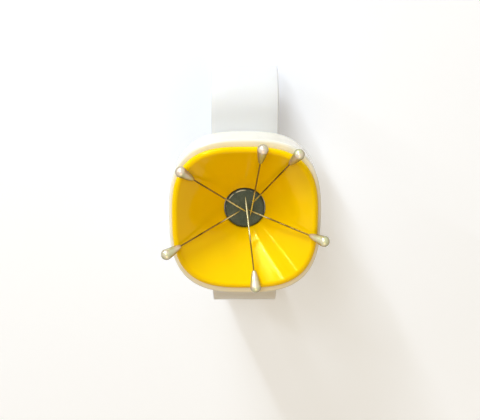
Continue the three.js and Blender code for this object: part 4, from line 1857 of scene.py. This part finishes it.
    def clasp(self) -> None:
        """Makes the clasp: a small plate with two pegs through the lapped ends and a dent over each."""
        low, high = self.shop.span("peg_clasp")
        bottom = self.lap_high.z + self.peg_gap
        radius = self.hole_diameter / 2 - self.peg_gap
        foot, root = radius + self.peg_foot, bottom + self.peg_root
        peg = [(0.0, low.z), (radius - self.peg_edge, low.z), (radius, low.z + self.peg_edge)]
        peg += [(radius, bottom - self.peg_edge), (foot, bottom), (foot, root), (0.0, root)]
        dimple = [(radius * share, high.z + rise) for share, rise in self.dimple]
        clasp = self.clasp_plate(low, high, bottom)
        for number in self.peg_holes:
            y = self.hole_station(number)
            Workshop.combine(clasp, Workshop.shift(turned("peg", peg, 40), 0.0, y), Fit.JOIN)
            Workshop.combine(clasp, Workshop.shift(turned("dimple", dimple, 40), 0.0, y), Fit.CUT)
        self.shop.deliver(clasp, CLASP_PLASTIC, Slot.CLASP, "tongue", "peg_clasp")

    def clasp_plate(self, low: Vector, high: Vector, bottom: float) -> Object:
        """Makes the clasp's rounded plate.

        Args:
            low: the clasp's lowest corner.
            high: its highest corner.
            bottom: the height of the plate's underside.

        Returns:
            The plate.
        """
        r = self.clasp_corner
        outline = []
        for cx, cy, start in (
            (high.x - r, high.y - r, 0), (low.x + r, high.y - r, 90), (low.x + r, low.y + r, 180),
            (high.x - r, low.y + r, 270),
        ):
            outline += arc(cx, cy, r, start, start + 90, 8)
        count = len(outline)
        points = [(x, y, z) for z in (bottom, high.z) for x, y in outline]
        faces = [tuple(reversed(range(count))), tuple(range(count, 2 * count))]
        faces += [(i, (i + 1) % count, (i + 1) % count + count, i + count) for i in range(count)]
        plate = Workshop.mesh("peg_clasp_moulding", points, faces)
        Workshop.tidy(plate)
        return Workshop.soften(plate, self.clasp_edge)


@dataclass
class PearlPins:
    """The six pins: gold-tone shafts and pearl drops, each turned by one Geometry Nodes tree.

    Attributes:
        shop: makes their meshes and hands them over.
        count: how many pins there are.
        length: length of a pin with its head.
        wire: diameter of the shaft.
        point: length of its slim point.
        taper: power of the point's swell, where 1 is a plain cone.
        hold: how far the wire runs into the pearl.
        pearl_length: length of the drop.
        pearl: its diameter.
        neck: its diameter where it meets the wire.
        swell: power of its swell.
        rings: how many rings a part has.
        sides: how many sides a ring has.
        sharp: the angle from which an edge looks sharp, in degrees.
    """

    shop: Workshop
    count: int = 6
    length: float = 41.5
    wire: float = 0.65
    point: float = 3.2
    taper: float = 0.7
    hold: float = 0.8
    pearl_length: float = 9.4
    pearl: float = 4.7
    neck: float = 1.3
    swell: float = 0.65
    rings: int = 64
    sides: int = 40
    sharp: float = 50.0

    def build(self) -> None:
        """Makes each pin where its CAD shaft lies."""
        shaft_tree = self.tree("pin_shaft", self.shaft_radius, GILT_STEEL)
        pearl_tree = self.tree("pearl_drop", self.pearl_radius, PEARL)
        pulls = {joint["child"]: joint for joint in self.shop.frame["joints"]}
        neck = self.length - self.pearl_length
        for number in range(1, self.count + 1):
            body = f"pin_{number}"
            axis = Vector(pulls[body]["axis"]).normalized()
            corners = self.shop.frame["nodes"][f"{body}_shaft"].data.vertices
            tip = min((c.co for c in corners), key=axis.dot).copy()
            shaft = self.piece(f"{body}_wire", shaft_tree, tip, axis, 0.0, neck + self.hold)
            self.shop.deliver(shaft, GILT_STEEL, Slot.PIN, body, f"{body}_shaft")
            pearl = self.piece(f"{body}_pearl", pearl_tree, tip, axis, neck, self.length)
            self.shop.deliver(pearl, PEARL, Slot.PEARL, body, f"{body}_head")

    def piece(self, name: str, tree: NodeTree, tip: Vector, axis: Vector, start: float, end: float) -> Object:
        """Turns one part of a pin and lays it in place.

        Args:
            name: the object's name.
            tree: the tree that turns it.
            tip: the pin's point, in metres.
            axis: the way from the point to the head.
            start: where the part starts along the pin.
            end: where it ends.

        Returns:
            The plain mesh.
        """
        obj = Workshop.mesh(name, [(0.0, 0.0, 0.0)], [])
        inputs = {"Start": start * MM, "End": end * MM, "Tip": tuple(tip), "Axis": tuple(axis)}
        return Workshop.run_tree(obj, tree, inputs, self.sharp)

    def shaft_radius(self, tree: NodeTree, along: NodeSocket) -> NodeSocket:
        """Adds the shaft's radius over its length: a slim point that swells into straight wire.

        Args:
            tree: the shaft's tree.
            along: the distance from the pin's point.

        Returns:
            The radius there.
        """
        share = add_node(
            tree, "ShaderNodeMapRange", {"Value": along, "From Max": self.point * MM}, clamp=True,
        )
        bend = add_node(tree, "ShaderNodeMath", {0: share.outputs[0], 1: self.taper}, operation="POWER")
        radius = add_node(
            tree, "ShaderNodeMath", {0: bend.outputs[0], 1: self.wire / 2 * MM}, operation="MULTIPLY",
        )
        return radius.outputs[0]

    def pearl_radius(self, tree: NodeTree, along: NodeSocket) -> NodeSocket:
        """Adds the drop's radius over its length: a neck that swells into a ball.

        Args:
            tree: the drop's tree.
            along: the distance from the pin's point.

        Returns:
            The radius there.
        """
        ball = self.pearl / 2 * MM
        centre = self.length * MM - ball
        start = (self.length - self.pearl_length) * MM
        share = add_node(
            tree, "ShaderNodeMapRange", {"Value": along, "From Min": start, "From Max": centre}, clamp=True,
        )
        bend = add_node(tree, "ShaderNodeMath", {0: share.outputs[0], 1: self.swell}, operation="POWER")
        neck = self.neck / 2 * MM
        cone = add_node(
            tree, "ShaderNodeMath", {0: bend.outputs[0], 1: ball - neck, 2: neck}, operation="MULTIPLY_ADD",
        )
        past = add_node(tree, "ShaderNodeMath", {0: along, 1: centre}, operation="SUBTRACT")
        beyond = add_node(tree, "ShaderNodeMath", {0: past.outputs[0], 1: 0.0}, operation="MAXIMUM")
        squared = add_node(tree, "ShaderNodeMath", {0: beyond.outputs[0], 1: 2.0}, operation="POWER")
        left = add_node(tree, "ShaderNodeMath", {0: ball**2, 1: squared.outputs[0]}, operation="SUBTRACT")
        kept = add_node(tree, "ShaderNodeMath", {0: left.outputs[0], 1: 0.0}, operation="MAXIMUM")
        cap = add_node(tree, "ShaderNodeMath", {0: kept.outputs[0]}, operation="SQRT")
        return add_node(
            tree, "ShaderNodeMath", {0: cone.outputs[0], 1: cap.outputs[0]}, operation="MINIMUM",
        ).outputs[0]

    def tree(self, name: str, radius_of: RadiusOf, finish: Finish) -> NodeTree:
        """Makes a tree that turns a radius about a pin's axis.

        Args:
            name: the tree's name.
            radius_of: adds the radius for a place along the pin.
            finish: the part's finish.

        Returns:
            The tree, with inputs for where the part starts and ends, the pin's point and its axis.
        """
        tree = geometry_tree(name, {"Start": "Float", "End": "Float", "Tip": "Vector", "Axis": "Vector"})
        given = add_node(tree, "NodeGroupInput")
        row = add_node(tree, "GeometryNodeMeshLine", {"Count": self.rings}, mode="OFFSET")
        number = add_node(tree, "GeometryNodeInputIndex")
        step = math.pi / (self.rings - 1)
        turn = add_node(tree, "ShaderNodeMath", {0: number.outputs[0], 1: step}, operation="MULTIPLY")
        # Rings stand closer at both ends, where the form closes
        wave = add_node(tree, "ShaderNodeMath", {0: turn.outputs[0]}, operation="COSINE")
        share = add_node(
            tree, "ShaderNodeMath", {0: wave.outputs[0], 1: -0.5, 2: 0.5}, operation="MULTIPLY_ADD",
        )
        along = add_node(
            tree, "ShaderNodeMapRange",
            {"Value": share.outputs[0], "To Min": given.outputs["Start"], "To Max": given.outputs["End"]},
        )
        radius = radius_of(tree, along.outputs[0])
        shift = add_node(
            tree, "ShaderNodeVectorMath",
            {0: given.outputs["Axis"], "Scale": along.outputs[0]}, operation="SCALE",
        )
        place = add_node(
            tree, "ShaderNodeVectorMath", {0: shift.outputs[0], 1: given.outputs["Tip"]}, operation="ADD",
        )
        # The radius is kept on the row before its points move, while each still has its own number
        kept = add_node(
            tree, "GeometryNodeStoreNamedAttribute",
            {"Geometry": row.outputs[0], "Name": "turned", "Value": radius},
            data_type="FLOAT", domain="POINT",
        )
        put = add_node(
            tree, "GeometryNodeSetPosition", {"Geometry": kept.outputs[0], "Position": place.outputs[0]},
        )
        line = add_node(tree, "GeometryNodeMeshToCurve", {0: put.outputs[0]})
        stored = add_node(tree, "GeometryNodeInputNamedAttribute", {"Name": "turned"}, data_type="FLOAT")
        ring = add_node(tree, "GeometryNodeCurvePrimitiveCircle", {"Resolution": self.sides, "Radius": 1.0})
        skin = add_node(
            tree, "GeometryNodeCurveToMesh",
            {"Curve": line.outputs[0], "Profile Curve": ring.outputs["Curve"],
             "Scale": stored.outputs["Attribute"], "Fill Caps": True},
        )
        merged = add_node(
            tree, "GeometryNodeMergeByDistance", {"Geometry": skin.outputs[0], "Distance": WELD},
        )
        dressed = add_node(
            tree, "GeometryNodeSetMaterial",
            {"Geometry": merged.outputs[0], "Material": self.shop.finish_of(finish)},
        )
        add_node(tree, "NodeGroupOutput", {"Geometry": dressed.outputs[0]})
        return tree


@dataclass(frozen=True)
class Softbox:
    """One lamp of the studio.

    Attributes:
        name: the lamp's name.
        azimuth: which way it stands from the dish, in degrees from +X.
        elevation: how high it stands above the lip, in degrees.
        distance: how far it stands.
        size: its width and height.
        power: its power in watts.
        colour: sRGB hex of its light.
    """

    name: str
    azimuth: float
    elevation: float
    distance: float
    size: tuple[float, float]
    power: float
    colour: str = "f3fbff"

    def direction(self) -> Vector:
        """Returns the way from the dish to the lamp."""
        turn, rise = math.radians(self.azimuth), math.radians(self.elevation)
        return Vector((math.cos(rise) * math.cos(turn), math.cos(rise) * math.sin(turn), math.sin(rise)))


@dataclass
class Studio:
    """A pale floor, soft light from the upper left and a camera above the dish.

    Attributes:
        focal: the lens's focal length.
        sensor: width of the camera's sensor.
        near: where the camera's sight starts.
        distance: how far the camera is above the lip's middle.
        tilt: how far it looks forward from straight down, in degrees.
        dish_pixel: where the lip's middle falls in the picture, in pixels.
        level_pixel: where the line of sight with that tilt falls.
        picture: the picture's width and height in pixels.
        softboxes: the lamps.
        sky: strength of the sky.
        sky_colour: sRGB hex of its light.
        floor_reach: how far the floor goes each way.
        floor_colour: sRGB hex of the floor.
        floor_glow: sRGB hex of the light that brightens it for the camera.
        floor_lift: strength of that light.
    """

    focal: float = 63.7
    sensor: float = 36.0
    near: float = 10.0
    distance: float = 350.0
    tilt: float = 13.0
    dish_pixel: tuple[float, float] = (245.0, 219.7)
    level_pixel: tuple[float, float] = (240.5, 178.0)
    picture: tuple[int, int] = (480, 420)
    softboxes: tuple[Softbox, ...] = (
        # The tall window behind the dish's upper left, which the funnel mirrors as a wedge
        Softbox("key_softbox", 110.8, 18.0, 1200.0, (200.0, 460.0), 4.1),
        # Its side panes, each dimmer, which fade the wedge out towards the left
        Softbox("key_side_near", 104.2, 18.0, 1200.0, (80.0, 460.0), 0.95),
        Softbox("key_side_far", 100.4, 18.0, 1200.0, (80.0, 460.0), 0.5),
        # Its brightest pane, which the funnel mirrors as the wedge's sharp edge
        Softbox("key_strip", 116.5, 20.0, 1200.0, (56.0, 500.0), 4.6),
        # A narrow gap beside it, which the funnel mirrors as a thin streak
        Softbox("side_strip", 147.0, 22.0, 1200.0, (15.0, 500.0), 1.5),
        # A tall narrow light higher up, which the lip mirrors at its upper left
        Softbox("high_strip", 121.0, 62.0, 1200.0, (60.0, 560.0), 2.9),
        Softbox("top_softbox", 110.0, 50.0, 1400.0, (1000.0, 520.0), 1.7, "d8eeff"),
        # A warm glow from in front, as the shaded whites and the housing's lower rim show
        Softbox("front_softbox", -80.0, 55.0, 1400.0, (800.0, 800.0), 4.2, "ffdfa4"),
    )
    sky: float = 0.31
    sky_colour: str = "ffe3b0"
    floor_reach: float = 3000.0
    floor_colour: str = "ebf0fc"
    floor_glow: str = "f6faff"
    floor_lift: float = 0.27

    def build(self) -> None:
        """Makes the stage, the lights, the world and the camera."""
        self.floor()
        for box in self.softboxes:
            self.light(box)
        self.world()
        self.camera()
        bpy.context.scene.view_settings.view_transform = "Standard"

    @staticmethod
    def background_rays(tree: NodeTree) -> NodeSocket:
        """Adds a value that is 1 for the rays that show the background: camera, glossy and transmission.

        Args:
            tree: the tree of the floor's finish or of the world.

        Returns:
            The value.
        """
        path = add_node(tree, "ShaderNodeLightPath")
        seen = path.outputs["Is Camera Ray"]
        for ray in ("Is Glossy Ray", "Is Transmission Ray"):
            seen = add_node(
                tree, "ShaderNodeMath", {0: seen, 1: path.outputs[ray]}, operation="MAXIMUM",
            ).outputs[0]
        return seen

    def floor(self) -> None:
        """Makes the pale floor, which the camera sees brighter but with its shadow."""
        reach = self.floor_reach
        corners = [(-reach, -reach, 0), (reach, -reach, 0), (reach, reach, 0), (-reach, reach, 0)]
        floor = Workshop.mesh("floor", corners, [(0, 1, 2, 3)])
        material, tree, shader = new_material("pale_floor")
        seen = self.background_rays(tree)
        lift = add_node(tree, "ShaderNodeMath", {0: seen, 1: self.floor_lift}, operation="MULTIPLY")
        set_inputs(tree, shader, {
            "Base Color": linear(self.floor_colour), "Roughness": 0.9, "Specular IOR Level": 0.1,
            "Emission Color": linear(self.floor_glow), "Emission Strength": lift.outputs[0],
        })
        floor.data.materials.append(material)
        floor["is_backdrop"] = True

    def light(self, box: Softbox) -> None:
        """Adds a softbox that faces the dish.

        Args:
            box: the softbox.
        """
        lamp = bpy.data.lights.new(box.name, "AREA")
        lamp.shape = "RECTANGLE"
        lamp.size, lamp.size_y = box.size[0] * MM, box.size[1] * MM
        lamp.energy = box.power
        lamp.color = linear(box.colour)[:3]
        obj = bpy.data.objects.new(box.name, lamp)
        back = box.direction()
        obj.location = self.target() + back * box.distance * MM
        obj.rotation_mode = "QUATERNION"
        obj.rotation_quaternion = back.to_track_quat("Z", "Y")
        bpy.context.scene.collection.objects.link(obj)

    def target(self) -> Vector:
        """Returns the centre of the dish's lip, in metres."""
        return Vector((0.0, 0.0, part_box("funnel_dish")[1].z))

    def world(self) -> None:
        """Makes an even warm sky that shows white to the camera and in reflections."""
        world = bpy.data.worlds.new("studio_sky")
        bpy.context.scene.world = world
        world.use_nodes = True
        tree = world.node_tree
        background = next(node for node in tree.nodes if node.type == "BACKGROUND")
        seen = self.background_rays(tree)
        tint = add_node(
            tree, "ShaderNodeMix",
            {"Factor": seen, 6: linear(self.sky_colour), 7: linear("ffffff")}, data_type="RGBA",
        )
        lift = add_node(
            tree, "ShaderNodeMath",
            {0: seen, 1: 1.0 - self.sky, 2: self.sky}, operation="MULTIPLY_ADD",
        )
        set_inputs(tree, background, {"Color": tint.outputs[2], "Strength": lift.outputs[0]})

    def camera(self) -> None:
        """Puts the camera where the dish falls at its place in the picture."""
        tilt = math.radians(self.tilt)
        right = Vector((1, 0, 0))
        up = Vector((0, math.cos(tilt), -math.sin(tilt)))
        back = Vector((0, math.sin(tilt), math.cos(tilt)))
        pixels = self.focal / self.sensor * self.picture[0]
        scale = self.distance / pixels
        aside = (self.dish_pixel[0] - self.level_pixel[0]) * scale
        below = (self.dish_pixel[1] - self.level_pixel[1]) * scale
        place = self.target() + (back * self.distance - right * aside + up * below) * MM
        # The picture's middle lies below the line of sight with that tilt
        turn_x = (self.picture[0] / 2 - self.level_pixel[0]) / pixels
        turn_y = (self.picture[1] / 2 - self.level_pixel[1]) / pixels
        forward = (-back + right * turn_x - up * turn_y).normalized()
        side = forward.cross(up).normalized()
        lift = side.cross(forward)
        turn = Matrix((side, lift, -forward)).transposed()
        lens = bpy.data.cameras.new("camera")
        lens.lens = self.focal
        lens.sensor_width = self.sensor
        lens.clip_start = self.near * MM
        camera = bpy.data.objects.new("camera", lens)
        camera.rotation_mode = "QUATERNION"
        camera.rotation_quaternion = turn.to_quaternion()
        camera.location = place
        bpy.context.scene.collection.objects.link(camera)
        bpy.context.scene.camera = camera


def main() -> None:
    """Builds the pincushion, piece by piece."""
    logging.basicConfig(level=logging.INFO, format="%(name)s: %(message)s")
    shop = Workshop()
    Studio().build()
    outline = RoundedSquare()
    FunnelDish(shop, outline).build()
    Housing(shop, outline).build()
    Magnet(shop).build()
    screws = Screws(shop)
    BasePlate(shop, outline, screws).build()
    screws.build()
    WristBand(shop).build()
    PearlPins(shop).build()


if __name__ == "__main__":
    main()
